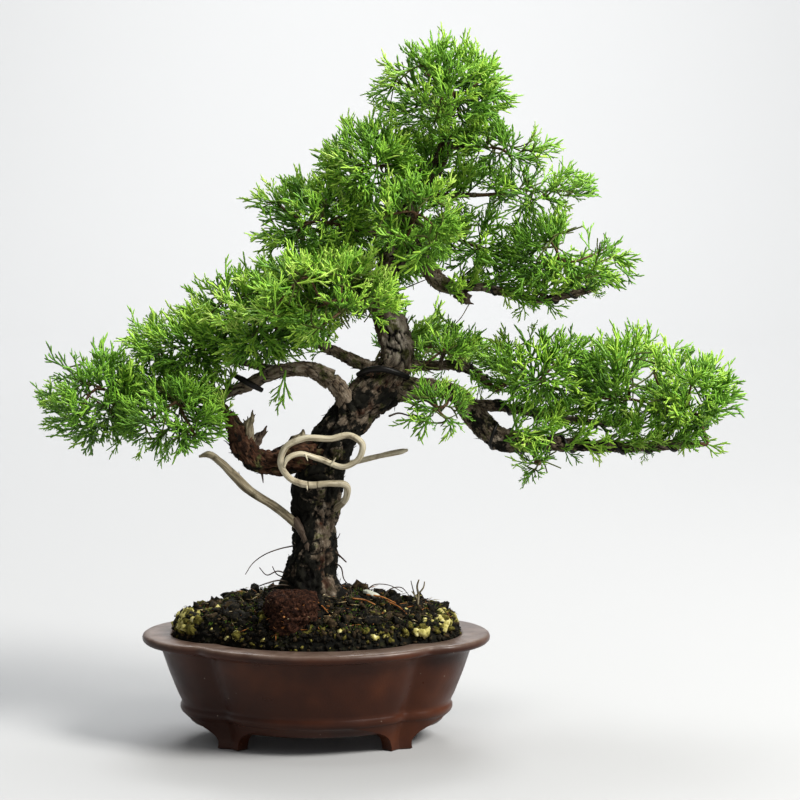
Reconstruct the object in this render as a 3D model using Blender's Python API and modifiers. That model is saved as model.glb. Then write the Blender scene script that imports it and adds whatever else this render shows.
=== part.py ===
"""A bonsai chinese juniper in its pot.

An old juniper, 0.39 m tall with its pot, stands in a brown unglazed quatrefoil pot with four
bracket feet. Its short trunk leans to the right and runs on to a thin tip. Long low boughs reach
out to both sides, dead wood has been left on the trunk as grown in bonsai, and the foliage is
built as separate masses of toothed sprays, each on one stem that meets the tip of its bough.

The tables below are in millimetres, in the pot's own frame: X to the right, Y away from the
viewer and Z up from the table, with the pot's middle at X = Y = 0. The meshes are in metres.
"""
import math
import random

import bmesh
import bpy
import numpy as np
from mathutils import Matrix, Vector, geometry, noise
from mathutils.bvhtree import BVHTree

MM = 0.001
GAP = 0.3
WELD = 2e-7

# Pot: a quatrefoil outline is two half sizes, and its notches lie at these shares of them
NOTCH = (0.67, 0.63)
FRONT_STEPS = 8
END_STEPS = 6
POT_OUTSIDE = [
    (61.0, 41.0, 10.0), (69.5, 47.5, 11.0), (73.0, 50.6, 15.0), (76.4, 53.4, 17.2),
    (76.4, 53.4, 19.8), (75.0, 52.2, 21.8), (78.0, 54.6, 29.0), (82.6, 58.0, 40.0),
    (85.6, 60.0, 50.0), (87.4, 61.4, 53.4), (94.8, 66.8, 54.6), (96.5, 68.0, 56.2),
    (96.5, 68.0, 58.2), (95.3, 67.0, 59.3),
]
POT_INSIDE = [(80.0, 52.5, 59.3), (78.8, 51.4, 57.3), (77.0, 50.0, 50.0), (62.0, 40.0, 17.0)]
# Foot: (half size X, half size Y, height, reach along the rim on each side of its notch)
FOOT_ROWS = [
    (70.0, 48.6, 0.0, 6.0), (68.6, 47.4, 4.0, 5.4), (69.4, 48.0, 8.0, 8.0), (71.0, 49.2, 13.0, 17.0),
]
FOOT_SHARES = (-1.0, -0.4, 0.4, 1.0)
FOOT_WALL = 7.0

# Soil: a cone with a steep edge that stands above the rim, flat under the trunk
SOIL_CLEAR = 0.7
SOIL_TOP = 81.6
SOIL_EDGE = 60.2
SOIL_SLOPE = 19.5
SOIL_RINGS = (0.95, 0.84, 0.72, 0.58)
SOIL_FLAT = 0.42
# Lumps of the mound: how wide they are, how high, and where in the noise they are read
SOIL_LUMP = 19.0
SOIL_ROUGHNESS = 2.2
SOIL_NOISE = 1.5

# Fertiliser cake, pressed into the mound in front of the trunk
CAKE_CENTRE = (-12.0, -35.0)
CAKE_RADIUS = 14.5
CAKE_FOOT = 69.5
CAKE_TOP = 88.0

# Trunk: rows of (x, y, z, radius) from its flat cut at the soil to its tip
TRUNK = [
    (-2.3, 0, SOIL_TOP + GAP, 16.0), (-2.3, 0, 91, 13.6), (-1.1, 0, 108, 12.6),
    (0.1, -1, 128, 12.4), (2.9, -2, 148, 12.4), (10.2, -3, 167, 11.9), (23.0, -2, 185, 12.4),
    (37.7, 0, 199, 11.6), (44.8, 2, 212, 8.8), (42.6, 4, 226, 7.9), (37.7, 6, 241, 7.4),
    (38.8, 7, 255, 6.6), (44.3, 8, 268, 5.8), (51.4, 8, 294, 4.7), (56.3, 7, 304, 4.3),
    (64.5, 6, 313, 3.7), (72.1, 4, 334, 2.2), (74.2, 3, 354, 1.1),
]
TRUNK_SIDES = 14
TRUNK_STEP = 10.5
FLARE_TOP = 104.0
FLARE_LOBES = 5
FLARE_DEPTH = 0.22
# Knobs on the trunk: (how wide they are, their depth as a share of its radius)
KNOBS = ((17.0, 0.24), (9.0, 0.10))

# Limbs: name, what carries it, number of sides, step between rings, rows of (x, y, z, radius)
BOUGHS = [
    ("left_low_bough", ("trunk",), 8, 7, [
        (3.6, -3, 158.9, 8.2), (-8.4, -6, 159.3, 7.6), (-20.4, -9, 155.8, 7.3),
        (-31.2, -12, 157.3, 6.5), (-38.7, -14, 164.8, 6.0), (-42.4, -15, 173.1, 4.9),
        (-46.6, -16, 181.5, 3.2), (-57.0, -18, 190.5, 2.0)]),
    ("left_upper_base", ("trunk",), 8, 7, [
        (22.3, -4, 174, 4.9), (17.5, -8, 185.5, 4.9), (14.8, -10, 194, 4.6),
        (8.9, -12, 201.9, 4.3)]),
    ("left_upper_bough", ("left_upper_base",), 8, 8, [
        (8.9, -12, 201.9, 4.3), (0.7, -13, 206.4, 4.1), (-18.9, -13, 206.4, 3.5),
        (-38.1, -11, 197.9, 3.0), (-56, -5, 191.2, 2.5), (-77.2, 6, 189.4, 1.9),
        (-95.3, -1, 191.3, 1.4)]),
    ("left_centre_bough", ("trunk",), 6, 9, [
        (38.2, 0, 204.5, 3.8), (27.2, 4, 207.9, 3.3), (11.1, 10, 214.6, 2.8),
        (-7.5, 5, 223.9, 1.9)]),
    ("left_tier_bough", ("left_upper_bough",), 6, 10, [
        (-18.3, -13, 206.4, 2.2), (-28.9, -8, 208.1, 1.9), (-39.7, -1, 210.1, 1.6),
        (-48.1, 3, 211.9, 1.4)]),
    ("left_shelf_front_bough", ("trunk",), 6, 9, [
        (38.2, 7, 245.8, 2.7), (33.4, -6, 246.8, 2.2), (25.9, -17, 246.5, 1.9)]),
    ("left_shelf_back_bough", ("trunk",), 6, 9, [
        (37.7, 6, 239.3, 2.7), (29.8, 18, 241.6, 2.2), (19.7, 28, 243.1, 1.9)]),
    ("left_mid_bough", ("trunk",), 6, 9, [
        (47.6, 8, 278.7, 2.5), (38.2, 8, 278.7, 2.2), (27.8, 8, 280.9, 1.9),
        (19.0, 8, 283.1, 1.6)]),
    ("left_high_bough", ("trunk",), 6, 9, [
        (64, 6, 312.7, 2.2), (54.7, 2, 314, 1.6), (46.5, -2, 316.2, 1.4)]),
    ("front_centre_bough", ("trunk",), 6, 9, [
        (49.8, 8, 288, 2.2), (50.8, -4, 288.4, 1.6), (52.4, -13, 288.8, 1.4)]),
    ("right_low_bough", ("trunk",), 8, 10, [
        (41, 0, 195.6, 5.6), (54.7, -4, 195.5, 5.3), (68.3, -8, 196, 4.9),
        (78.1, -11, 192.5, 5.0), (85.7, -13, 183.9, 6.0), (93.4, -14, 175.2, 6.0),
        (102.6, -15, 168.8, 6.0), (113, -15, 167.8, 5.4), (125.5, -16, 167.2, 4.0),
        (141.8, -17, 166.3, 3.1), (174.3, -19, 165.4, 2.7), (209.4, -21, 167.3, 1.5)]),
    ("right_low_parallel", ("right_low_bough",), 6, 10, [
        (83.5, -12.5, 187.5, 2.7), (98.5, -5, 186.3, 2.7), (109.7, -1, 183.9, 2.5),
        (137.4, 2, 178.2, 2.2), (162.4, 4, 175.2, 1.6)]),
    ("pale_upper_limb", ("trunk",), 6, 10, [
        (46.5, 2, 207.6, 2.7), (60.2, 4, 207.6, 2.7), (82.8, 3, 206.6, 2.7),
        (90.4, 0, 202, 2.6), (95.0, -2, 198.0, 2.4)]),
    ("right_mid_bough", ("trunk",), 8, 9.5, [
        (46.5, 8, 282, 3.8), (53.1, 5, 274, 3.8), (60.2, 1, 264.3, 3.8), (68.3, -3, 254.2, 4.1),
        (76.5, -5, 251.1, 3.8), (84.6, -6, 252.2, 2.7), (104.7, -8, 249.1, 2.2),
        (123.7, -10, 244.9, 2.2), (137.9, -10, 247.6, 1.9), (153.6, -10, 251.4, 1.4)]),
    ("right_mid_riser", ("right_mid_bough",), 6, 6, [
        (123.2, -10, 245.4, 1.2), (124.8, -9, 250.3, 1.1), (126.5, -8, 255.1, 1.0)]),
    ("right_mid_inner_bough", ("trunk",), 6, 9, [
        (50.5, 8, 290.5, 2.2), (60.2, 6, 284.5, 1.7), (69.5, 4, 279, 1.4)]),
    ("right_low_inner_riser", ("pale_upper_limb",), 6, 6, [
        (68.5, 4, 207.4, 1.4), (69.5, 0, 212.2, 1.2), (70.6, -4, 216.5, 1.1)]),
    ("front_tuft_twig", ("right_low_bough",), 6, 6, [
        (73.8, -9, 195, 1.6), (73.1, -17, 192.6, 1.4), (71.9, -23, 190.5, 1.1)]),
    ("hanging_twig", ("right_low_bough",), 6, 4, [
        (116.3, -15, 167.7, 1.4), (118.5, -20.8, 163.6, 1.2), (119.8, -23, 160.4, 1.1)]),
    ("right_upper_bough", ("trunk",), 6, 10, [
        (53.1, 7, 298.5, 1.7), (66.2, 4, 300.8, 1.5), (88, 0, 301.5, 1.3)]),
    ("right_high_bough", ("trunk",), 6, 7, [
        (71.6, 4, 328, 1.4), (78, 0, 327.6, 1.2), (84.5, -4, 327.7, 1.1)]),
    ("back_low_bough", ("trunk",), 6, 10, [
        (43.2, 4, 222.9, 3.3), (46.5, 24, 221, 2.8), (51, 44, 218.1, 2.3), (54.4, 56, 215.9, 2)]),
    ("back_mid_bough", ("trunk",), 6, 10, [
        (41, 8, 262.2, 2.7), (38.7, 24, 263.4, 2.2), (36.4, 42, 264.6, 1.7)]),
    ("back_high_bough", ("trunk",), 6, 7, [
        (60.2, 7, 308.4, 1.9), (63.6, 18, 312.4, 1.4), (66.5, 28, 315.4, 1.1)]),
]
DEAD_WOOD = [
    ("dead_branch_left", ("trunk",), 6, 8, [
        (-1.5, -2, 112.5, 2.4), (-8.5, -7, 119.3, 2.3), (-22, -12, 131.5, 2.4),
        (-37, -15, 142, 2.5), (-44.5, -16, 149.8, 2.4), (-51.5, -17, 157, 2.1),
        (-58, -18, 161.2, 1.8), (-63, -18, 160, 1.4)]),
    ("dead_stub_right", ("trunk",), 6, 11, [
        (7.9, 0, 151.8, 1.9), (18.8, 3, 153.6, 1.6), (35.4, 5, 157.3, 1.5),
        (50.9, 6, 160.5, 1.6)]),
    ("left_stub_front", ("left_low_bough",), 6, 8, [
        (-37.6, -13, 168.5, 3.3), (-35.8, -15, 175.9, 2.4), (-33.5, -17, 185.5, 1.1)]),
    ("left_stub_back", ("left_low_bough", "left_stub_front"), 6, 6, [
        (-36.7, -11, 162.9, 2.7), (-31.0, -7, 168.9, 2.2), (-26.5, -4, 175.2, 1.4)]),
    ("left_base_stub", ("left_low_bough", "trunk"), 8, 5, [
        (-11.4, -7, 160, 3.8), (-8.6, -6, 167.4, 3.2), (-6.4, -5.4, 173.4, 2.2)]),
    ("right_mid_stub", ("right_mid_bough",), 8, 5, [
        (77.6, -5, 250, 3.3), (81.3, -11, 246.6, 3), (84.4, -15, 244.2, 2.7)]),
    ("dead_loop", ("trunk",), 6, 6.5, [
        (7.9, -4, 127.3, 2.5), (17.2, -14, 137.5, 2.0), (16.8, -19, 144.5, 1.9),
        (9.4, -20, 145.5, 1.8), (-3.6, -20, 144.7, 1.8), (-14, -20, 148.9, 1.8),
        (-18.5, -20, 157.3, 1.8), (-15.8, -21, 165.3, 1.8), (-5.9, -22, 170.4, 1.8),
        (9, -22.5, 170.4, 1.8), (19.9, -23, 172.1, 1.7), (26, -24, 167.5, 1.7),
        (24.2, -23.5, 159.8, 1.6), (17.4, -22.5, 155.3, 1.6), (1.8, -22, 159.6, 1.6),
        (-8.5, -24, 162.3, 1.5), (-15.1, -25.5, 159.1, 1.3), (-16.4, -26, 155, 1.2)]),
]

# Foliage: name, limb whose tip carries it, centre, radii
MASSES = [
    ("foliage_apex", "trunk", (69, 2, 357), (39, 33, 28)),
    ("foliage_right_high", "right_high_bough", (103, -8, 327), (28, 26, 15)),
    ("foliage_right_upper", "right_upper_bough", (120, -4, 304), (34, 28, 15)),
    ("foliage_left_high", "left_high_bough", (30, -4, 318), (28, 32, 24)),
    ("foliage_left_mid", "left_mid_bough", (0, 6, 288), (35, 38, 23)),
    ("foliage_front_centre", "front_centre_bough", (54, -31, 288), (25, 23, 27)),
    ("foliage_shelf_front", "left_shelf_front_bough", (8, -38, 247), (42, 38, 26)),
    ("foliage_shelf_outer", "left_centre_bough", (-35, -3, 233), (37, 40, 28)),
    ("foliage_shelf_back", "left_shelf_back_bough", (3, 46, 247), (40, 34, 25)),
    ("foliage_left_tier", "left_tier_bough", (-70, 3, 219), (35, 36, 19)),
    ("foliage_far_left_outer", "left_upper_bough", (-120, -10, 191), (30, 38, 28)),
    ("foliage_far_left_inner", "left_low_bough", (-77, -29, 184), (29, 29, 24)),
    ("foliage_right_mid_outer", "right_mid_riser", (135, -8, 269), (40, 38, 23)),
    ("foliage_right_mid_inner", "right_mid_inner_bough", (86, 2, 276), (24, 34, 20)),
    ("foliage_right_low_inner", "right_low_inner_riser", (71, -12, 215), (23, 28, 17)),
    ("foliage_right_low_front", "front_tuft_twig", (68, -31, 188), (20, 20, 15)),
    ("foliage_right_low_middle", "pale_upper_limb", (123, -4, 207), (34, 40, 22)),
    ("foliage_right_low_outer", "right_low_parallel", (173, -4, 199), (34, 46, 29)),
    ("foliage_right_low_tip", "right_low_bough", (206, -18, 192), (25, 36, 27)),
    ("foliage_hanging_tuft", "hanging_twig", (121, -25, 158), (15, 17, 13)),
    ("foliage_back_low", "back_low_bough", (58, 80, 214), (44, 38, 24)),
    ("foliage_back_mid", "back_mid_bough", (34, 66, 266), (40, 32, 24)),
    ("foliage_back_high", "back_high_bough", (68, 40, 318), (28, 22, 19)),
]

# A mass that doesn't come out closed is grown again from another seed
FIRST_SEED = 100
SEED_STEP = 50
GROW_TRIES = 4
# Room between the masses' spaces, as a share of their radii, and between foliage and limbs
MARGIN = 0.05
LIMB_CLEAR = 0.9
# Stem: it leaves its bough's tip straight, bends after its collar and ends short of the middle
COLLAR = 3.5
STEM_RADIUS = 1.8
STEM_SWELL = 1.1
STEM_TAPER = 0.85
STEM_REACH = 0.55
STEM_SINK = 0.5
# Stem nodes that twigs fork from: share of the way along it, and depth of a twig's root in it
STEM_NODES = ((0.0, 0.40), (0.5, 0.30), (1.0, 0.25))
# Twigs: the area of space for each, and how far out their tips lie
TWIG_AREA = 500.0
MIN_TWIGS = 4
MIN_TWIG = 5.0
TWIG_RADIUS = 1.5
TWIG_WAIST = 0.22
TWIG_NODE = (0.5, 0.25)
NEAR_NODES = 4
TIP_DEPTH = (0.50, 0.78)
GOLDEN_ANGLE = math.pi * (3 - math.sqrt(5))
GOLDEN_SHARE = 0.618
# Spray blade: (along, across) shares of its length for the rim, and where its hub lies
BLADE_RIM = [(0.0, 0.0), (0.76, 0.30), (0.60, 0.12), (1.0, 0.0), (0.60, -0.12), (0.76, -0.30)]
BLADE_HUB = 0.30
BLADE_THICKNESS = 0.08
BLADE_SHARE = 0.95
BLADE_RANGE = (18.0, 29.0)
BLADE_REACH = 1.13
ROOT_SHARE = 0.8
ROOT_ROOM = 0.5
# A blade that isn't free is tried again, smaller and turned further each time
BLADE_TRIES = 14
BLADE_STEPS = (1.30, 0.05)
BLADE_TURNS = (0.10, 0.08)
# Blades along a twig: share of its length, side and bend away from it in radians
BLADE_PLACES = ((0.86, 1, 0.3), (0.62, -1, 0.7), (0.40, 1, 0.9))
OUTWARD = 0.6
UPWARD = Vector((0, 0, 0.2))
# Two blades of three stand upright, so that they show from the sides, and one lies flatter
UPRIGHT = (1.3, 1.3, 0.0)
ROLL = 0.6
# A dense mass has a faceted core, which swells to the first of these shares of its radii that
# its space allows, and shorter blades stand out of it
DENSE = ("foliage_shelf_front", "foliage_shelf_outer", "foliage_shelf_back", "foliage_left_mid",
         "foliage_left_high", "foliage_far_left_inner")
CORE_SHARES = (0.52, 0.46, 0.40, 0.34, 0.28, 0.22, 0.16)
CORE_PROBES = (0.0, 0.25, 0.5)
CORE_CLEAR = 4.5
CORE_UNEVEN = (0.82, 1.12)
DENSE_DEPTH = (0.66, 0.80)
DENSE_PLACES = ((0.94, 1, 0.3), (0.84, -1, 1.1), (0.72, 1, 1.3))
DENSE_BLADE = 0.70


def clear_scene():
    """Removes what the file starts with."""
    for obj in list(bpy.data.objects):
        bpy.data.objects.remove(obj, do_unlink=True)


def make_material(name, colour, roughness):
    """A plain Principled material in the piece's own colour."""
    material = bpy.data.materials.new(name)
    material.use_nodes = True
    shader = material.node_tree.nodes["Principled BSDF"]
    shader.inputs["Base Color"].default_value = (*colour, 1.0)
    shader.inputs["Roughness"].default_value = roughness
    shader.inputs["Metallic"].default_value = 0.0
    return material


clear_scene()
plant = bpy.data.collections.new("chinese_juniper_bonsai")
cutters = bpy.data.collections.new("cutters")
for group in (plant, cutters):
    bpy.context.scene.collection.children.link(group)
base = bpy.data.objects.new("base", None)
plant.objects.link(base)
limb_routes = {}


def add_object(name, bm, material, group=plant):
    """Makes an object from a bmesh in millimetres and hangs it on the base empty."""
    mesh = bpy.data.meshes.new(name)
    bmesh.ops.scale(bm, vec=(MM, MM, MM), verts=bm.verts)
    bm.to_mesh(mesh)
    bm.free()
    mesh.materials.append(material)
    obj = bpy.data.objects.new(name, mesh)
    obj.parent = base
    group.objects.link(obj)
    return obj


def hide_cutter(obj):
    """A cutter is drawn as wire and left out of the model."""
    obj.hide_render = True
    obj.display_type = "WIRE"


def keep_outer_body(mesh):
    """Keeps the largest shell of a mesh, which drops loose scraps and fills sealed hollows."""
    bm = bmesh.new()
    bm.from_mesh(mesh)
    bmesh.ops.remove_doubles(bm, verts=bm.verts, dist=WELD)
    bmesh.ops.dissolve_degenerate(bm, dist=WELD, edges=bm.edges)
    bodies = []
    waiting = set(bm.verts)
    while waiting:
        front = [waiting.pop()]
        body = set(front)
        while front:
            vertex = front.pop()
            for edge in vertex.link_edges:
                other = edge.other_vert(vertex)
                if other in waiting:
                    waiting.discard(other)
                    body.add(other)
                    front.append(other)
        bodies.append(body)
    largest = max(bodies, key=len)
    bmesh.ops.delete(bm, geom=[v for v in bm.verts if v not in largest], context="VERTS")
    bm.to_mesh(mesh)
    bm.free()


def bake(obj):
    """Replaces an object's mesh by its evaluated one, without its modifiers."""
    graph = bpy.context.evaluated_depsgraph_get()
    mesh = bpy.data.meshes.new_from_object(obj.evaluated_get(graph))
    old = obj.data
    obj.modifiers.clear()
    obj.data = mesh
    mesh.name = obj.name
    if isinstance(old, bpy.types.Mesh) and old.users == 0:
        bpy.data.meshes.remove(old)
    return mesh


def cut(obj, tools):
    """Cuts the tools out of an object and keeps its one body."""
    for tool in tools:
        modifier = obj.modifiers.new("cut", "BOOLEAN")
        modifier.operation = "DIFFERENCE"
        modifier.object = tool
    keep_outer_body(bake(obj))


def loft(rings):
    """Joins equal rings of points into one closed skin, with a flat face on each end."""
    bm = bmesh.new()
    rows = [[bm.verts.new(point) for point in ring] for ring in rings]
    for low, high in zip(rows, rows[1:]):
        for i in range(len(low)):
            j = (i + 1) % len(low)
            bm.faces.new((low[i], low[j], high[j], high[i]))
    bm.faces.new(list(reversed(rows[0])))
    bm.faces.new(rows[-1])
    bmesh.ops.recalc_face_normals(bm, faces=bm.faces)
    return bm


def arc(start, middle, end):
    """The circle through three points, as centre, radius and the angles of start and end."""
    ax, ay = start
    bx, by = middle
    cx, cy = end
    d = 2 * (ax * (by - cy) + bx * (cy - ay) + cx * (ay - by))
    a, b, c = ax * ax + ay * ay, bx * bx + by * by, cx * cx + cy * cy
    centre = Vector(((a * (by - cy) + b * (cy - ay) + c * (ay - by)) / d,
                     (a * (cx - bx) + b * (ax - cx) + c * (bx - ax)) / d))
    first = math.atan2(ay - centre.y, ax - centre.x)
    last = math.atan2(cy - centre.y, cx - centre.x)
    if last < first:
        last += 2 * math.pi
    return centre, (Vector(start) - centre).length, first, last


def lobes(half_x, half_y):
    """The front lobe's and the right lobe's arcs for one size of the quatrefoil."""
    x, y = NOTCH[0] * half_x, NOTCH[1] * half_y
    front = arc((-x, -y), (0, -half_y), (x, -y))
    right = arc((x, -y), (half_x, 0), (x, y))
    return front, right


def quatrefoil(half_x, half_y, z):
    """The pot's outline at one height, anticlockwise from its left front notch."""
    half = []
    for (centre, radius, first, last), steps in zip(lobes(half_x, half_y), (FRONT_STEPS, END_STEPS)):
        for i in range(steps):
            angle = first + (last - first) * i / steps
            half.append((centre.x + radius * math.cos(angle), centre.y + radius * math.sin(angle)))
    return [(x, y, z) for x, y in half] + [(-x, -y, z) for x, y in half]


def foot_ring(half_x, half_y, z, reach):
    """A bent strip along the rim at the right front notch, as a closed ring."""
    def strip(hx, hy):
        front, right = lobes(hx, hy)
        points = []
        for share in FOOT_SHARES:
            centre, radius, first, last = front if share < 0 else right
            angle = (last if share < 0 else first) + share * reach / radius
            points.append((centre.x + radius * math.cos(angle),
                           centre.y + radius * math.sin(angle), z))
        return points
    outer = strip(half_x, half_y)
    inner = strip(half_x - FOOT_WALL, half_y - FOOT_WALL)
    return outer + list(reversed(inner))


def build_pot(material):
    """The lofted bowl, with four bracket feet joined on."""
    rings = [quatrefoil(*row) for row in POT_OUTSIDE + POT_INSIDE]
    pot = add_object("pot", loft(rings), material)
    feet = add_object("feet", loft([foot_ring(*row) for row in FOOT_ROWS]), material, cutters)
    hide_cutter(feet)
    mirror = feet.modifiers.new("four_feet", "MIRROR")
    mirror.use_axis = (True, True, False)
    mirror.use_mirror_merge = False
    mirror.mirror_object = base
    union = pot.modifiers.new("feet", "BOOLEAN")
    union.operation = "UNION"
    union.object = feet
    keep_outer_body(bake(pot))
    return pot


def soil_height(share):
    """The mound's height at a share of the way out to the pot's wall."""
    return SOIL_TOP - SOIL_SLOPE * (share - SOIL_FLAT)


def soil_lump(x, y):
    """How far the mound's lumps lift it at a place."""
    return noise.noise((x / SOIL_LUMP, y / SOIL_LUMP, SOIL_NOISE)) * SOIL_ROUGHNESS


def build_soil(material):
    """The soil fills the pot a little clear of its wall and mounds up to the trunk."""
    sides = [(x - SOIL_CLEAR, y - SOIL_CLEAR, z) for x, y, z in reversed(POT_INSIDE)]
    floor_x, floor_y, floor_z = sides[0]
    edge_x, edge_y, _ = sides[-1]
    rings = [quatrefoil(floor_x, floor_y, floor_z + GAP)]
    rings += [quatrefoil(*row) for row in sides[1:-1]]
    rings.append(quatrefoil(edge_x, edge_y, SOIL_EDGE))
    for share in SOIL_RINGS:
        ring = quatrefoil(edge_x * share, edge_y * share, soil_height(share))
        rings.append([(x, y, z + soil_lump(x, y)) for x, y, z in ring])
    rings.append(quatrefoil(edge_x * SOIL_FLAT, edge_y * SOIL_FLAT, SOIL_TOP))
    return add_object("soil", loft(rings), material)


def build_cake(material, soil):
    """A pressed cake with a worn edge, seated in a pocket that is cut for it in the mound."""
    rng = random.Random(3)
    profile = [(0.94, CAKE_FOOT), (1.0, CAKE_FOOT + 3), (0.97, CAKE_TOP - 4), (0.72, CAKE_TOP)]
    wobble = [rng.uniform(0.94, 1.04) for _ in range(12)]

    def rings(grow):
        result = []
        for scale, z in profile:
            radius = CAKE_RADIUS * scale + grow
            lift = -grow if z == CAKE_FOOT else grow
            result.append([(CAKE_CENTRE[0] + radius * w * math.cos(math.tau * i / 12),
                            CAKE_CENTRE[1] + radius * w * math.sin(math.tau * i / 12), z + lift)
                           for i, w in enumerate(wobble)])
        return result

    cake = add_object("fertiliser_cake", loft(rings(0.0)), material)
    pocket = add_object("cake_pocket", loft(rings(GAP)), material, cutters)
    hide_cutter(pocket)
    cut(soil, [pocket])
    return cake


def smooth(rows, step):
    """Reads a smooth curve through rows of (x, y, z, radius) at about equal steps."""
    rows = np.array(rows, dtype=float)
    lengths = np.linalg.norm(np.diff(rows[:, :3], axis=0), axis=1)
    knots = np.concatenate(([0.0], np.cumsum(lengths)))
    slopes = np.gradient(rows, knots, axis=0)
    points = []
    for s in np.linspace(0.0, knots[-1], max(3, round(knots[-1] / step) + 1)):
        i = min(int(np.searchsorted(knots, s, side="right")) - 1, len(rows) - 2)
        h = knots[i + 1] - knots[i]
        t = (s - knots[i]) / h
        points.append(rows[i] * (1 + 2 * t) * (1 - t) ** 2 + slopes[i] * h * t * (1 - t) ** 2
                      + rows[i + 1] * t * t * (3 - 2 * t) + slopes[i + 1] * h * t * t * (t - 1))
    return points


def tube(name, points, sides, material, group=plant, grow=0.0):
    """A tapering round limb: a poly curve with a bevel, made into a mesh with welded caps."""
    curve = bpy.data.curves.new(name, "CURVE")
    curve.dimensions = "3D"
    curve.bevel_depth = MM
    curve.bevel_resolution = (sides - 4) // 2
    curve.use_fill_caps = True
    spline = curve.splines.new("POLY")
    spline.points.add(len(points) - 1)
    for target, (x, y, z, radius) in zip(spline.points, points):
        target.co = (x * MM, y * MM, z * MM, 1.0)
        target.radius = radius + grow
    wire = bpy.data.objects.new(name, curve)
    group.objects.link(wire)
    graph = bpy.context.evaluated_depsgraph_get()
    mesh = bpy.data.meshes.new_from_object(wire.evaluated_get(graph))
    bpy.data.objects.remove(wire)
    bpy.data.curves.remove(curve)
    bm = bmesh.new()
    bm.from_mesh(mesh)
    bmesh.ops.remove_doubles(bm, verts=bm.verts, dist=WELD)
    bmesh.ops.recalc_face_normals(bm, faces=bm.faces)
    bm.to_mesh(mesh)
    bm.free()
    mesh.materials.clear()
    mesh.materials.append(material)
    mesh.shade_smooth()
    obj = bpy.data.objects.new(name, mesh)
    obj.parent = base
    group.objects.link(obj)
    return obj


def shape_foot(obj):
    """Spreads the foot of the trunk into root lobes and levels its cut."""
    foot_x, foot_y, foot_z, _ = TRUNK[0]
    for vertex in obj.data.vertices:
        x, y, z = (value / MM for value in vertex.co)
        low = max(0.0, (FLARE_TOP - z) / (FLARE_TOP - foot_z))
        angle = math.atan2(y - foot_y, x - foot_x)
        swell = 1 + FLARE_DEPTH * min(low, 1.0) ** 2 * (0.5 + 0.5 * math.sin(FLARE_LOBES * angle))
        z = foot_z if z < foot_z + 1 else z
        vertex.co = Vector((foot_x + (x - foot_x) * swell, foot_y + (y - foot_y) * swell, z)) * MM


def shape_knobs(obj, points):
    """Pushes the trunk's skin in and out from its middle line by soft noise."""
    line = np.array(points)[:, :3]
    for vertex in obj.data.vertices:
        spot = np.array(vertex.co) / MM
        middle = line[np.linalg.norm(line - spot, axis=1).argmin()]
        lump = sum(noise.noise(Vector(spot / size)) * depth for size, depth in KNOBS)
        vertex.co = Vector(middle + (spot - middle) * (1 + lump)) * MM


def wrap(name, obj, room):
    """A copy of a solid whose skin lies a little outside it, with the same triangles."""
    bm = bmesh.new()
    bm.from_mesh(obj.data)
    bmesh.ops.triangulate(bm, faces=bm.faces, quad_method="FIXED")
    bm.to_mesh(obj.data)
    bm.normal_update()
    for vertex in bm.verts:
        vertex.co += vertex.normal * room * MM
    bmesh.ops.scale(bm, vec=(1 / MM, 1 / MM, 1 / MM), verts=bm.verts)
    return add_object(name, bm, obj.data.materials[0], cutters)


def build_trunk(material):
    """The whole trunk, and a slightly fatter copy that trims what it carries."""
    points = smooth(TRUNK, TRUNK_STEP)
    limb_routes["trunk"] = points
    trunk = tube("trunk", points, TRUNK_SIDES, material)
    shape_knobs(trunk, points)
    shape_foot(trunk)
    hide_cutter(wrap("trunk_trimmer", trunk, GAP))
    return trunk


def build_limb(name, carriers, sides, step, rows, material):
    """One tapering limb, trimmed clear of what carries it."""
    points = smooth(rows, step)
    limb_routes[name] = points
    limb = tube(name, points, sides, material)
    trimmer = tube(name + "_trimmer", points, sides, material, cutters, GAP)
    hide_cutter(trimmer)
    cut(limb, [bpy.data.objects[carrier + "_trimmer"] for carrier in carriers])
    return limb


def limb_field():
    """Points every millimetre along all the limbs, with the limb's radius at each."""
    field = []
    for points in limb_routes.values():
        for a, b in zip(points, points[1:]):
            steps = max(2, int(np.linalg.norm(b[:3] - a[:3])))
            field += [a + (b - a) * i / steps for i in range(steps + 1)]
    return np.array(field)


def shell(points, centre, radii):
    """How far out points lie in a mass's space: 0 at its middle, 1 on its surface."""
    return np.linalg.norm((points - np.array(centre)) / np.array(radii), axis=1)


def in_space(points, own, reach=1.0):
    """Tells whether points lie in a mass's own space, clear of the other masses' spaces."""
    mine = shell(points, *own)
    if mine.max() >= reach:
        return False
    return not any((centre, radii) != own and (shell(points, centre, radii) < mine + MARGIN).any()
                   for _, _, centre, radii in MASSES)


def clear_of_limbs(points, field, room=LIMB_CLEAR):
    """Tells whether points lie clear of every limb."""
    away = np.linalg.norm(points[:, None, :] - field[None, :, :3], axis=2) - field[None, :, 3]
    return away.min() > room


def aim(origin, along, across, scale):
    """A placement whose X runs along a direction, with Y turned towards another."""
    x = along.normalized()
    z = x.cross(across).normalized()
    y = z.cross(x)
    turn = Matrix((x, y, z)).transposed().to_4x4()
    return Matrix.Translation(origin * MM) @ turn @ Matrix.Diagonal((*(Vector(scale) * MM), 1.0))


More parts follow.
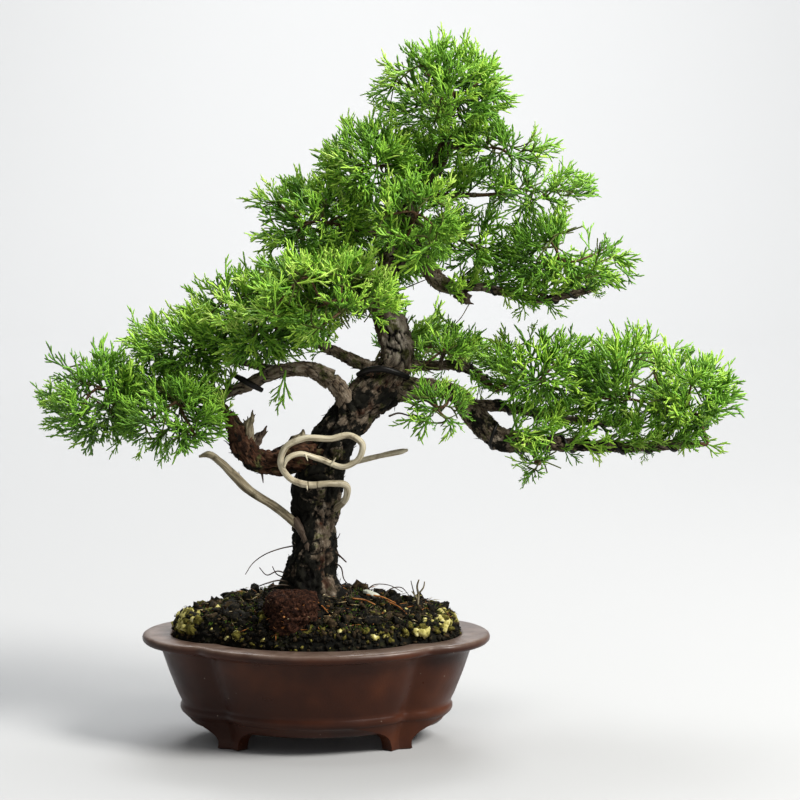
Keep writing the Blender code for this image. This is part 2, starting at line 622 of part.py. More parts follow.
def blade_template():
    """A flat toothed blade of length 1: a sphere of two bands whose rim is drawn into teeth."""
    bm = bmesh.new()
    bmesh.ops.create_uvsphere(bm, u_segments=len(BLADE_RIM), v_segments=2, radius=1.0)
    rim = sorted((v for v in bm.verts if abs(v.co.z) < 0.5), key=lambda v: math.atan2(v.co.y, v.co.x))
    for vertex, (along, across) in zip(rim, reversed(BLADE_RIM)):
        vertex.co = (along, across, 0.0)
    for vertex in bm.verts:
        if abs(vertex.co.z) > 0.5:
            vertex.co = (BLADE_HUB, 0.0, math.copysign(BLADE_THICKNESS / 2, vertex.co.z))
    bmesh.ops.recalc_face_normals(bm, faces=bm.faces)
    mesh = bpy.data.meshes.new("blade")
    bm.to_mesh(mesh)
    bm.free()
    return mesh


def twig_template():
    """A three-sided twig of length 1 along X, pointed at both ends and widest near its foot."""
    bm = bmesh.new()
    bmesh.ops.create_uvsphere(bm, u_segments=3, v_segments=2, radius=1.0)
    for vertex in bm.verts:
        x, y, z = vertex.co
        if abs(z) > 0.5:
            vertex.co = (0.5 + 0.5 * z, 0.0, 0.0)
        else:
            vertex.co = (TWIG_WAIST, x, y)
    bmesh.ops.recalc_face_normals(bm, faces=bm.faces)
    mesh = bpy.data.meshes.new("twig")
    bm.to_mesh(mesh)
    bm.free()
    return mesh


def core_template():
    """A coarse ball of radius 1 with an uneven skin."""
    rng = random.Random(5)
    bm = bmesh.new()
    bmesh.ops.create_icosphere(bm, subdivisions=2, radius=1.0)
    for vertex in bm.verts:
        vertex.co *= rng.uniform(*CORE_UNEVEN)
    mesh = bpy.data.meshes.new("core")
    bm.to_mesh(mesh)
    bm.free()
    return mesh


def stem_template():
    """A three-sided stem of length 1 along X with a flat foot, tapered to two thirds."""
    bm = bmesh.new()
    turn = Matrix.Translation((0.5, 0, 0)) @ Matrix.Rotation(math.pi / 2, 4, "Y")
    bmesh.ops.create_cone(bm, cap_ends=True, segments=3, radius1=1.0, radius2=0.67, depth=1.0,
                          matrix=turn)
    mesh = bpy.data.meshes.new("stem")
    bm.to_mesh(mesh)
    bm.free()
    return mesh


def blade_samples():
    """Points all over a blade, used to test whether it is free."""
    hub = np.array((BLADE_HUB, 0.0))
    rim = np.array(BLADE_RIM)
    middles = (rim + np.roll(rim, 1, axis=0)) / 2
    flat = [hub]
    for share in (1.0, 0.7, 0.35):
        flat += list(hub + (rim - hub) * share) + list(hub + (middles - hub) * share)
    return [Vector((x, y, 0.0)) for x, y in flat]


def shape_tree(mesh, place):
    """A search tree of a placed mesh, in millimetres."""
    spots = [(place @ v.co) / MM for v in mesh.vertices]
    return BVHTree.FromPolygons(spots, [tuple(p.vertices) for p in mesh.polygons])


class Mass:
    """One mass of foliage while it grows: its space, its placed parts and its twigs' nodes."""

    def __init__(self, number, dense, centre, radii, templates, field):
        self.rng = random.Random(FIRST_SEED + number)
        self.tip_depth = DENSE_DEPTH if dense else TIP_DEPTH
        self.places = DENSE_PLACES if dense else BLADE_PLACES
        self.blade_share = DENSE_BLADE if dense else BLADE_SHARE
        self.own = (centre, radii)
        self.middle = Vector(centre)
        self.radii = radii
        self.stem_mesh, self.twig_mesh, self.blade_mesh, self.samples = templates
        self.field = field
        self.parts = []
        self.twigs = []
        self.blades = []

    def add_twig(self, mesh, a, b, radius, sink=0.0):
        """Places a three-sided twig from a to b, its foot sunk into what it grows from."""
        way = (b - a).normalized()
        foot = a - way * sink
        place = aim(foot, way, way.orthogonal(), ((b - foot).length, radius, radius))
        self.parts.append((mesh, place))
        self.twigs.append((a, b, shape_tree(mesh, place)))

    def add_core(self, ball):
        """Swells an uneven ball about the middle as far as the space and the limbs allow."""
        core = ball.copy()
        for vertex in core.vertices:
            for share in CORE_SHARES:
                spot = self.middle + Vector(u * r * share for u, r in zip(vertex.co, self.radii))
                probe = np.array([spot.lerp(self.middle, back) for back in CORE_PROBES])
                if in_space(probe, self.own) and clear_of_limbs(probe, self.field, CORE_CLEAR):
                    break
            vertex.co = spot * MM
        self.parts.append((core, Matrix.Identity(4)))

    def line_is_free(self, a, b):
        """Tests a twig's line against the mass's space and the limbs."""
        steps = max(2, int((b - a).length / 2.0))
        line = np.array([a.lerp(b, i / steps) for i in range(steps + 1)])
        return in_space(line, self.own) and clear_of_limbs(line, self.field)

    def add_blade(self, root, way, size, sink):
        """Places a blade with its root sunk in a twig, turned until it is free of the rest."""
        for attempt in range(BLADE_TRIES):
            turn = BLADE_TURNS[0] + BLADE_TURNS[1] * attempt
            spread = Vector([self.rng.gauss(0, turn) for _ in range(3)])
            side = Vector([self.rng.gauss(0, ROLL) for _ in range(3)])
            side.z += UPRIGHT[len(self.blades) % len(UPRIGHT)]
            scale = size * (BLADE_STEPS[0] - BLADE_STEPS[1] * attempt)
            heading = (way + spread).normalized()
            place = aim(root - heading * sink, heading, side, (scale, scale, scale))
            spots = np.array([place @ sample for sample in self.samples]) / MM
            if not (in_space(spots, self.own, BLADE_REACH) and clear_of_limbs(spots, self.field)):
                continue
            tree = shape_tree(self.blade_mesh, place)
            if any(tree.overlap(other) for other in self.blades):
                continue
            if any(tree.overlap(other) for a, b, other in self.twigs
                   if (geometry.intersect_point_line(root, a, b)[0] - root).length > ROOT_ROOM):
                continue
            self.parts.append((self.blade_mesh, place))
            self.blades.append(tree)
            return

    def targets(self, count, start):
        """Places for twig tips, spread evenly through the outer part of the space."""
        spots = []
        first = self.rng.uniform(0, math.tau)
        inner, outer = self.tip_depth
        for k in range(count):
            height = 1 - 2 * (k + 0.5) / count
            turn = first + k * GOLDEN_ANGLE
            flat = math.sqrt(1 - height * height)
            depth = inner + (outer - inner) * ((k * GOLDEN_SHARE) % 1)
            unit = Vector((flat * math.cos(turn), flat * math.sin(turn), height)) * depth
            spots.append(self.middle + Vector(u * r for u, r in zip(unit, self.radii)))
        return sorted(spots, key=lambda spot: (spot - start).length)

    def outward(self, spot):
        """The direction that leads straight out of the space at a place in it."""
        return Vector((s - m) / r for s, m, r in zip(spot, self.middle, self.radii)).normalized()

    def grow(self, tip, before):
        """A stem from the bough's tip, twigs that fork from it, and blades along the twigs."""
        heading = Vector(tip[:3] - before[:3]).normalized()
        start = Vector(tip[:3]) + heading * GAP
        elbow = start + heading * COLLAR
        thick = min(float(tip[3]) * STEM_SWELL, STEM_RADIUS)
        end = elbow.lerp(self.middle, STEM_REACH)
        self.add_twig(self.stem_mesh, start, elbow + heading, thick)
        self.add_twig(self.stem_mesh, elbow, end, thick * STEM_TAPER, STEM_SINK)
        nodes = [(elbow.lerp(end, share), thick * depth) for share, depth in STEM_NODES]
        x, y, z = self.radii
        wanted = max(MIN_TWIGS, round((x * y + y * z + x * z) / TWIG_AREA))
        shoots = []
        for target in self.targets(wanted, end):
            nearest = sorted(nodes, key=lambda node: (node[0] - target).length)
            for node, depth in nearest[:NEAR_NODES]:
                if (node - target).length > MIN_TWIG and self.line_is_free(node, target):
                    self.add_twig(self.twig_mesh, node, target, TWIG_RADIUS, depth)
                    nodes.append((node.lerp(target, TWIG_NODE[0]), TWIG_RADIUS * TWIG_NODE[1]))
                    shoots.append((node, target))
                    break
        size = min(max(sum(self.radii) / 3 * self.blade_share, BLADE_RANGE[0]), BLADE_RANGE[1])
        for share, turn, bend in self.places:
            inside = TWIG_RADIUS * (1 - share) / (1 - TWIG_WAIST) / 2 * ROOT_SHARE
            for node, tip in shoots:
                way = (tip - node).normalized()
                spin = Matrix.Rotation(turn * bend * self.rng.uniform(0.8, 1.2), 3, way.orthogonal())
                swing = Matrix.Rotation(self.rng.uniform(0, math.tau), 3, way)
                heading = (swing @ spin @ way + self.outward(tip) * OUTWARD + UPWARD).normalized()
                self.add_blade(node.lerp(tip, share), heading, size * self.rng.uniform(0.85, 1.0),
                               inside)

    def fuse(self, name, material):
        """Joins all the parts into the mass's one body with one union."""
        objects = []
        for mesh, place in self.parts:
            obj = bpy.data.objects.new(name + "_part", mesh)
            obj.matrix_world = place
            objects.append(obj)
        mass = bpy.data.objects.new(name, self.parts[0][0].copy())
        mass.matrix_world = self.parts[0][1]
        plant.objects.link(mass)
        fused = bpy.data.collections.new(name + "_parts")
        bpy.context.scene.collection.children.link(fused)
        for obj in objects[1:]:
            fused.objects.link(obj)
        union = mass.modifiers.new("fuse", "BOOLEAN")
        union.operation = "UNION"
        union.operand_type = "COLLECTION"
        union.collection = fused
        mesh = bake(mass)
        mesh.transform(mass.matrix_world)
        mass.matrix_world = Matrix.Identity(4)
        mass.parent = base
        for obj in objects:
            bpy.data.objects.remove(obj)
        bpy.data.collections.remove(fused)
        keep_outer_body(mesh)
        mesh.materials.clear()
        mesh.materials.append(material)
        return mass


def is_closed(mesh):
    """Tells whether every edge of a mesh has two faces."""
    bm = bmesh.new()
    bm.from_mesh(mesh)
    closed = all(edge.is_manifold for edge in bm.edges)
    bm.free()
    return closed


def grow_mass(number, name, carrier, centre, radii, templates, field, material):
    """Grows and joins one mass, carried by the tip of its bough, until its skin is closed."""
    for attempt in range(GROW_TRIES):
        if attempt:
            bpy.data.objects.remove(obj)
        seed = number + SEED_STEP * attempt
        mass = Mass(seed, name in DENSE, centre, radii, templates[:-1], field)
        mass.grow(*limb_routes[carrier][:-3:-1])
        if name in DENSE:
            mass.add_core(templates[-1])
        obj = mass.fuse(name, material)
        if is_closed(obj.data):
            break
    print(name, "seed", attempt, "twigs", len(mass.twigs), "blades", len(mass.blades),
          "faces", len(obj.data.polygons))


def stand_on_origin():
    """Moves the base so that the middle of the whole box's bottom is the world's origin."""
    bpy.context.view_layer.update()
    corners = np.array([obj.matrix_world @ v.co for obj in plant.objects if obj.type == "MESH"
                        for v in obj.data.vertices])
    low, high = corners.min(axis=0), corners.max(axis=0)
    base.location = (-(low[0] + high[0]) / 2, -(low[1] + high[1]) / 2, -low[2])
    print("size in mm:", [round(float(v) / MM, 1) for v in high - low])


def main():
    clay = make_material("unglazed_brown_clay", (0.145, 0.058, 0.035), 0.55)
    earth = make_material("mossy_soil", (0.045, 0.045, 0.022), 0.95)
    pellet = make_material("fertiliser", (0.11, 0.045, 0.028), 0.9)
    bark = make_material("bark", (0.14, 0.095, 0.07), 0.85)
    dead = make_material("dead_wood", (0.42, 0.37, 0.30), 0.7)
    leaf = make_material("foliage_green", (0.09, 0.20, 0.035), 0.6)
    build_pot(clay)
    soil = build_soil(earth)
    build_cake(pellet, soil)
    build_trunk(bark)
    for row in BOUGHS:
        build_limb(*row, bark)
    for row in DEAD_WOOD:
        build_limb(*row, dead)
    templates = (stem_template(), twig_template(), blade_template(), blade_samples(),
                 core_template())
    field = limb_field()
    for number, (name, carrier, centre, radii) in enumerate(MASSES):
        grow_mass(number, name, carrier, centre, radii, templates, field, leaf)
    stand_on_origin()


main()
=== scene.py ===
# %% [markdown]
# # A bonsai chinese juniper, dressed for the camera
#
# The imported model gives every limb, every mass of foliage and the pot as plain solids in their
# places. This lesson puts the real surfaces on them: burnished clay, a mossy mound of grains,
# flaking bark, bleached dead wood and some thousands of forked green sprays. Each cell makes one
# thing and prints what it made.
#
# The tables are in millimetres in the pot's own frame, as a potter and a grower would measure
# them: X to the right, Y away from the viewer, Z up from the table, and the pot's middle at
# X = Y = 0. Only the last step of each mesh turns them into metres.

# %% Load the frame
import math
import random

import bmesh
import bpy
import numpy as np
from mathutils import Matrix, Vector, noise


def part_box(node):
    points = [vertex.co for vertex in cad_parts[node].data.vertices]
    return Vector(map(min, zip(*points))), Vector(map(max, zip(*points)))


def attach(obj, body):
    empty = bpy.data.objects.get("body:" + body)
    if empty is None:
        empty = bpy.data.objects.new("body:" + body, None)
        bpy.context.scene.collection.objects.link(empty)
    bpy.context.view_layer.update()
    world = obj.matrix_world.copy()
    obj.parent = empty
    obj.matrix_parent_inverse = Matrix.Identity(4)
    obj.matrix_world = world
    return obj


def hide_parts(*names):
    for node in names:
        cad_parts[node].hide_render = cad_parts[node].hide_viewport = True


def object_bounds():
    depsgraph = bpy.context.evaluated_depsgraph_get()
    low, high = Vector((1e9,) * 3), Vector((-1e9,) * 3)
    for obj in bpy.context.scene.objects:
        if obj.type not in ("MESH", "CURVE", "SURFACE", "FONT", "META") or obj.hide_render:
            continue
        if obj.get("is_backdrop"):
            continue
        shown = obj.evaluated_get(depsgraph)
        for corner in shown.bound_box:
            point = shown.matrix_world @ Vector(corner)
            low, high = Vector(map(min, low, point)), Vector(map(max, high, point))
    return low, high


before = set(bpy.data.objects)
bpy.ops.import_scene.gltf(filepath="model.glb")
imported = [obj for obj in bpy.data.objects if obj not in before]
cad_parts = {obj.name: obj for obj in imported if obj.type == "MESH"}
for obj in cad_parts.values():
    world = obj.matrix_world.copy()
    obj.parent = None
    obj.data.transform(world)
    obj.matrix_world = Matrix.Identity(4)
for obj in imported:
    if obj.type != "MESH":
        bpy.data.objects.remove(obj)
cad_low, cad_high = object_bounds()
MM = 0.001
pot_low, pot_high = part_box("pot")
shift = np.array([(pot_low.x + pot_high.x) / 2, (pot_low.y + pot_high.y) / 2, 0.0])
print("CAD box in mm:", [round((b - a) / MM, 1) for a, b in zip(cad_low, cad_high)])

# %% [markdown]
# ## The camera first
#
# The viewer stands about a metre and a half away and looks slightly down, far enough for the
# tree's upright lines to stay upright. A long lens gives the same picture as cropping one. The
# camera is set before anything is modelled, because each piece is judged through it.

# %% Camera
VIEW_PITCH = math.radians(6.5)
VIEW_AT = (46.5, -1490.4, 358.8)
LENS_PIXELS = 2727.0
FRAME_PIXELS = 800.0
SENSOR = 36.0

lens = bpy.data.cameras.new("camera")
lens.sensor_width = SENSOR
lens.lens = SENSOR * LENS_PIXELS / FRAME_PIXELS
lens.clip_end = 50.0
camera = bpy.data.objects.new("camera", lens)
camera.location = Vector(np.array(VIEW_AT) * MM + shift)
camera.rotation_euler = (math.pi / 2 - VIEW_PITCH, 0.0, 0.0)
bpy.context.scene.collection.objects.link(camera)
bpy.context.scene.camera = camera
print("lens in mm:", round(lens.lens, 1))

# %% [markdown]
# ## Light, floor and the film's response
#
# The tree stands in soft daylight: a bright, even surround, with a broader glow from the upper
# right that lights the right side of the trunk and leaves its left side dark. A big area light
# gives that glow soft edges. The floor is plain and pale, and it rises far behind the tree in one
# smooth curve, so that no horizon cuts through the branches, and a viewer can still walk round
# behind the tree. A third light keeps that curve bright. The Standard view keeps colours as they
# are mixed, where the default one would wash them out.

# %% Light and floor
SURROUND = (0.97, 0.985, 1.0)
SURROUND_STRENGTH = 0.36
FLOOR_HALF = 4.0
SWEEP_START, SWEEP_RADIUS, SWEEP_TOP = 2.4, 1.2, 4.5
SWEEP_STEPS = 24
# Lights: name, place and size in metres, power in watts, colour and the place that it looks at
LIGHTS = [
    ("window", (1.35, -0.75, 1.55), 0.8, 84.0, (1.0, 0.985, 0.95), (0.0, 0.0, 0.2)),
    ("sky", (-0.2, 0.5, 2.3), 1.5, 44.0, (0.96, 0.98, 1.0), (0.0, 0.0, 0.2)),
    ("backdrop", (0.0, 2.6, 2.3), 1.6, 103.0, (0.98, 0.99, 1.0), (0.0, 3.0, 0.0)),
]

scene = bpy.context.scene
scene.view_settings.view_transform = "Standard"
world = bpy.data.worlds.new("surround")
world.use_nodes = True
world.node_tree.nodes["Background"].inputs["Color"].default_value = (*SURROUND, 1.0)
world.node_tree.nodes["Background"].inputs["Strength"].default_value = SURROUND_STRENGTH
scene.world = world

for name, place, size, power, colour, target in LIGHTS:
    light = bpy.data.lights.new(name, "AREA")
    light.size = size
    light.energy = power
    light.color = colour
    lamp = bpy.data.objects.new(name, light)
    lamp.location = place
    aim = Vector(target) - lamp.location
    lamp.rotation_euler = aim.to_track_quat("-Z", "Y").to_euler()
    scene.collection.objects.link(lamp)

bm = bmesh.new()
profile = [(-FLOOR_HALF, 0.0), (SWEEP_START, 0.0)]
for step in range(1, SWEEP_STEPS + 1):
    turn = math.radians(90 * step / SWEEP_STEPS)
    profile.append((SWEEP_START + SWEEP_RADIUS * math.sin(turn), SWEEP_RADIUS * (1 - math.cos(turn))))
profile.append((SWEEP_START + SWEEP_RADIUS, SWEEP_TOP))
rows = [[bm.verts.new((x, y, z)) for x in (-FLOOR_HALF, FLOOR_HALF)] for y, z in profile]
for low, high in zip(rows, rows[1:]):
    bm.faces.new((low[0], low[1], high[1], high[0]))
floor_mesh = bpy.data.meshes.new("floor_sweep")
bm.to_mesh(floor_mesh)
bm.free()
floor_mesh.shade_smooth()
floor = bpy.data.objects.new("floor_sweep", floor_mesh)
scene.collection.objects.link(floor)
floor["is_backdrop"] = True

# %% [markdown]
# ## Helpers for finishes
#
# A finish is a Principled shader with a few procedural nodes in front of it. The first helper
# starts the material. The next adds a node, fills its sockets and links those that are given
# another node's output, and the rest make the nodes that most finishes use. What is the same all
# over a surface is set on the shader's own socket.

# %% Finish helpers


def finish(name, colour, roughness, shine=0.12):
    """Starts a material and returns it with its node tree and its shader."""
    material = bpy.data.materials.new(name)
    material.use_nodes = True
    shader = material.node_tree.nodes["Principled BSDF"]
    shader.inputs["Base Color"].default_value = (*colour, 1.0)
    shader.inputs["Roughness"].default_value = roughness
    shader.inputs["Specular IOR Level"].default_value = shine
    return material, material.node_tree, shader


def add(tree, kind, inputs=None, **settings):
    """Adds a shader node. Values that are sockets are linked, others are set."""
    made = tree.nodes.new("ShaderNode" + kind)
    for name, value in settings.items():
        setattr(made, name, value)
    for socket, value in (inputs or {}).items():
        if isinstance(value, bpy.types.NodeSocket):
            tree.links.new(value, made.inputs[socket])
        else:
            made.inputs[socket].default_value = value
    return made


def place_of(tree):
    """The place on the object, in metres: every piece keeps its origin at the world's."""
    return add(tree, "TexCoord").outputs["Object"]


def grain(tree, size_mm, detail=3.0, rough=0.55, at=None, stretch=None):
    """Soft noise whose blotches are about size_mm across, as a value from 0 to 1."""
    vector = at or place_of(tree)
    if stretch:
        vector = add(tree, "VectorMath", {0: vector, 1: stretch}, operation="MULTIPLY").outputs[0]
    inputs = {"Vector": vector, "Scale": 1.0 / (size_mm * MM), "Detail": detail, "Roughness": rough}
    return add(tree, "TexNoise", inputs).outputs["Fac"]


def ramp(tree, value, stops):
    """Turns a value into a colour by stops of (position, colour)."""
    made = add(tree, "ValToRGB", {"Fac": value})
    elements = made.color_ramp.elements
    while len(elements) < len(stops):
        elements.new(0.5)
    for element, (position, colour) in zip(elements, stops):
        element.position = position
        element.color = (*colour, 1.0)
    return made.outputs["Color"]


def blend(tree, share, low, high):
    """Mixes two colours by a share from 0 to 1."""
    made = add(tree, "Mix", {0: share, 6: low, 7: high}, data_type="RGBA")
    return made.outputs[2]


def fit(tree, value, low, high, to_low=0.0, to_high=1.0):
    """Maps a range of a value onto another, and holds it there."""
    made = add(tree, "MapRange", {0: value, 1: low, 2: high, 3: to_low, 4: to_high})
    return made.outputs[0]


def bump(tree, shader, heights):
    """Chains bumps of (height value, depth in mm) onto the shader's normal."""
    normal = None
    for height, depth in heights:
        inputs = {"Height": height, "Distance": depth * MM, "Strength": 1.0}
        if normal:
            inputs["Normal"] = normal
        normal = add(tree, "Bump", inputs).outputs["Normal"]
    tree.links.new(normal, shader.inputs["Normal"])


pale_floor, floor_tree, floor_shader = finish("pale_floor", (0.35, 0.35, 0.35), 0.7)
floor.data.materials.append(pale_floor)
bump(floor_tree, floor_shader, [(grain(floor_tree, 3.0), 0.02)])
print("floor and lights are in place")

# %% [markdown]
# ## Helpers for meshes
#
# Everything here is made of arrays: points in millimetres and triangles that name them. One
# helper turns them into a mesh object, and it takes a material number for each triangle and named
# values for each point. A bag gathers many small shapes into one such pair of arrays, because
# thousands of separate objects would be slow to draw and slow to export. The small helpers at the
# end do what comes back all through the lesson: a direction, a weighted draw and a random offset.

# %% Mesh helpers


def make_piece(name, points, triangles, materials, numbers=None, values=None, smooth=True):
    """A mesh object from points in mm and triangles, riding on the frame."""
    mesh = bpy.data.meshes.new(name)
    points = np.asarray(points, dtype=float)
    triangles = np.asarray(triangles, dtype=np.int32)
    mesh.vertices.add(len(points))
    mesh.vertices.foreach_set("co", (points * MM + shift).astype(np.float32).ravel())
    mesh.loops.add(triangles.size)
    mesh.loops.foreach_set("vertex_index", triangles.ravel())
    mesh.polygons.add(len(triangles))
    mesh.polygons.foreach_set("loop_start", np.arange(0, triangles.size, 3, dtype=np.int32))
    mesh.update(calc_edges=True)
    mesh.polygons.foreach_set("use_smooth", np.full(len(triangles), smooth))
    for material in materials:
        mesh.materials.append(material)
    if numbers is not None:
        mesh.polygons.foreach_set("material_index", np.asarray(numbers, dtype=np.int32))
    for label, array in (values or {}).items():
        array = np.asarray(array, dtype=np.float32)
        kind = "FLOAT_VECTOR" if array.ndim == 2 else "FLOAT"
        stored = mesh.attributes.new(label, kind, "POINT")
        stored.data.foreach_set("vector" if array.ndim == 2 else "value", array.ravel())
    piece = bpy.data.objects.new(name, mesh)
    scene.collection.objects.link(piece)
    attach(piece, "root")
    print(f"{name}: {len(triangles)} triangles")
    return piece


class Bag:
    """Gathers shapes into one set of points and triangles."""

    def __init__(self):
        self.points, self.triangles, self.numbers, self.values = [], [], [], {}
        self.count = 0

    def add(self, points, triangles, number=0, **values):
        """Adds a shape; number is one material number, or one for each triangle."""
        self.points.append(points)
        self.triangles.append(np.asarray(triangles) + self.count)
        self.numbers.append(np.broadcast_to(number, len(triangles)))
        for label, array in values.items():
            self.values.setdefault(label, []).append(array)
        self.count += len(points)

    def joined(self):
        """All points, triangles and material numbers."""
        return [np.concatenate(parts) for parts in (self.points, self.triangles, self.numbers)]

    def piece(self, name, materials, smooth=True):
        """Makes the one piece that holds them all."""
        points, triangles, numbers = self.joined()
        values = {label: np.concatenate(arrays) for label, arrays in self.values.items()}
        return make_piece(name, points, triangles, materials, numbers, values, smooth)


def ring_faces(rings, sides):
    """Triangles between successive rings of points."""
    low = (np.arange(rings - 1)[:, None] * sides + np.arange(sides)).ravel()
    side = (np.arange(rings - 1)[:, None] * sides + (np.arange(sides) + 1) % sides).ravel()
    return np.concatenate([np.stack([low, side, side + sides], axis=1),
                           np.stack([low, side + sides, low + sides], axis=1)])


def cap_faces(first, sides, hub, flip):
    """A fan of triangles from a hub to one ring."""
    here = first + np.arange(sides)
    after = first + (np.arange(sides) + 1) % sides
    fan = np.stack([np.full(sides, hub), here, after], axis=1)
    return fan[:, ::-1] if flip else fan


def loft(rings, hubs=None):
    """A closed skin through equal rings of points, with a fan on each end round its hub."""
    rings = np.asarray(rings, dtype=float)
    count, sides = rings.shape[:2]
    if hubs is None:
        hubs = rings[0].mean(0), rings[-1].mean(0)
    points = np.concatenate([rings.reshape(-1, 3), hubs])
    faces = np.concatenate([ring_faces(count, sides),
                            cap_faces(0, sides, count * sides, True),
                            cap_faces((count - 1) * sides, sides, count * sides + 1, False)])
    return points, faces


def unit(vector):
    """A vector's direction, at length 1."""
    return vector / np.linalg.norm(vector)


def unit_rows(vectors):
    """The directions of a list of vectors, each at length 1."""
    return vectors / np.linalg.norm(vectors, axis=1)[:, None]


def pick(rng, *weights):
    """Draws a number from 0 on, each as likely as its weight says."""
    return rng.choices(range(len(weights)), weights)[0]


def wobble(rng, size):
    """Three numbers that scatter round zero."""
    return [rng.gauss(0, size) for _ in range(3)]


# %% [markdown]
# ## The pot's outline
#
# A mokko pot has the outline of a quatrefoil: four shallow lobes that meet in four notches. Two
# half sizes and two shares place the notches, and a circle through three points makes each lobe.
# The potter has pressed each notch in with a thumb, so the outline is pinched there, and clay
# keeps no knife edge, so it is softened by averaging each point with its neighbours.

# %% Quatrefoil outline
# A notch's place as a share of the half size in X and in Y
NOTCH = (0.67, 0.63)
# Points on the front lobe and on the right lobe
LOBE_STEPS = (96, 64)
PINCH_DEPTH, PINCH_REACH = 1.7, 6.0


def arc(start, middle, end):
    """The circle through three points, as centre, radius and the angles of start and end."""
    (ax, ay), (bx, by), (cx, cy) = start, middle, end
    d = 2 * (ax * (by - cy) + bx * (cy - ay) + cx * (ay - by))
    a, b, c = ax * ax + ay * ay, bx * bx + by * by, cx * cx + cy * cy
    x = (a * (by - cy) + b * (cy - ay) + c * (ay - by)) / d
    y = (a * (cx - bx) + b * (ax - cx) + c * (bx - ax)) / d
    first, last = math.atan2(ay - y, ax - x), math.atan2(cy - y, cx - x)
    return (x, y), math.hypot(ax - x, ay - y), first, last + (math.tau if last < first else 0)


def lobes(half_x, half_y):
    """The front lobe's and the right lobe's arcs for one size of the outline."""
    x, y = NOTCH[0] * half_x, NOTCH[1] * half_y
    return arc((-x, -y), (0, -half_y), (x, -y)), arc((x, -y), (half_x, 0), (x, y))


def pinch(flat, half_x, half_y):
    """Presses an outline in at its four notches."""
    corner = np.array((NOTCH[0] * half_x, NOTCH[1] * half_y))
    away = np.linalg.norm(np.abs(flat) - corner, axis=1)
    inward = -flat / np.linalg.norm(flat, axis=1)[:, None]
    return flat + inward * (PINCH_DEPTH * np.exp(-(away / PINCH_REACH) ** 2))[:, None]


def quatrefoil(half_x, half_y, z):
    """The outline at one height, anticlockwise from its left front notch."""
    half = []
    for ((x, y), radius, first, last), steps in zip(lobes(half_x, half_y), LOBE_STEPS):
        angles = first + (last - first) * np.arange(steps) / steps
        half.append(np.stack([x + radius * np.cos(angles), y + radius * np.sin(angles)], axis=1))
    half = np.concatenate(half)
    flat = pinch(np.concatenate([half, -half]), half_x, half_y)
    flat = (np.roll(flat, 1, axis=0) + 2 * flat + np.roll(flat, -1, axis=0)) / 4
    return np.column_stack([flat, np.full(len(flat), float(z))])


# %% [markdown]
# ## Clay
#
# The clay is unglazed and burnished: dark chestnut, redder where the kiln was hotter. The top of
# the lip is painted greyer: a painted reflection of its sheen on what faces upwards. It has a low
# sheen, so the lip and the band catch the light. A few pale specks of lime sit on it. Blotches come
# from soft noise, the painted reflection on the lip from the height above the table and which way
# the surface faces, and the specks from the middles of a cell pattern.

# %% Clay finish
# The painted reflection on the lip starts between these heights in metres, on what faces upwards
LIP_SHEEN_FADE = (0.0525, 0.0575)
SPECKS_PER_METRE = 105.0
SPECK_EDGE = (0.020, 0.045)
LIME = (0.30, 0.24, 0.19, 1.0)

clay, tree, shader = finish("unglazed_clay", (0.1, 0.04, 0.025), 0.42, 0.2)
body = ramp(tree, grain(tree, 34.0, 3.0, 0.45), [
    (0.30, (0.020, 0.0050, 0.0020)), (0.52, (0.038, 0.0095, 0.0030)),
    (0.72, (0.072, 0.0190, 0.0055))])
height = add(tree, "SeparateXYZ", {0: place_of(tree)}).outputs[2]
facing = add(tree, "SeparateXYZ", {0: add(tree, "NewGeometry").outputs["Normal"]}).outputs[2]
# Painted reflection: the lip's upward faces are painted greyer, standing in for the sheen of the
# burnished clay
lip_sheen = add(tree, "Math", {0: fit(tree, height, *LIP_SHEEN_FADE), 1: fit(tree, facing, -0.1, 0.9)},
          operation="MULTIPLY").outputs[0]
painted_sheen = ramp(tree, grain(tree, 9.0, 5.0), [
    (0.3, (0.066, 0.038, 0.027)), (0.7, (0.145, 0.102, 0.080))])
body = blend(tree, lip_sheen, body, painted_sheen)
cells = add(tree, "TexVoronoi", {"Vector": place_of(tree), "Scale": SPECKS_PER_METRE})
speck = fit(tree, cells.outputs["Distance"], *SPECK_EDGE, 0.6, 0.0)
body = blend(tree, speck, body, LIME)
tree.links.new(body, shader.inputs["Base Color"])
gloss = fit(tree, grain(tree, 14.0, 4.0), 0.3, 0.7, 0.27, 0.46)
tree.links.new(gloss, shader.inputs["Roughness"])
bump(tree, shader, [(grain(tree, 1.1, 2.0), 0.06), (grain(tree, 12.0, 2.0), 0.12)])

# %% [markdown]
# ## Pot
#
# The bowl is a loft: the outline is drawn at each height of the profile, small at the foot,
# drawn in above a rounded band, flaring to a flat lip with a rolled edge, then down the inside.
# Each foot is a bracket under a notch, so it is a bent strip of the same outline that narrows in a
# hollow curve from the band to the table.

# %% Pot
# Pot: (half size X, half size Y, height)
POT_OUTSIDE = [
    (58, 38, 10.6), (66.5, 45.3, 10), (69, 47.2, 10.4), (70.2, 48.2, 11.4),
    (71.4, 49.3, 13.2), (72.6, 50.3, 14.9), (74.2, 51.6, 15.7), (75.2, 52.4, 16.6),
    (75.8, 52.9, 18.1), (75.7, 52.8, 19.6), (75.1, 52.4, 20.6), (74.8, 52.1, 21.4),
    (75.4, 52.6, 23.2), (77, 53.8, 26.5), (79.2, 55.4, 32), (81.9, 57.5, 39),
    (84.1, 59.1, 45.5), (85.9, 60.4, 51), (87, 61.2, 53.2), (89.2, 62.9, 54.1),
    (92.6, 65.2, 54.4), (95.2, 67.1, 54.9), (96.3, 67.8, 56), (96.5, 68, 57.3),
    (96.1, 67.6, 58.6), (95, 66.8, 59.3), (93, 65, 59.4),
]
POT_INSIDE = [(82, 54.3, 59.4), (80.5, 52.9, 59.1), (79.6, 52.1, 58), (78.4, 51, 54),
              (77, 50, 50), (70, 45, 34), (62, 40, 17)]
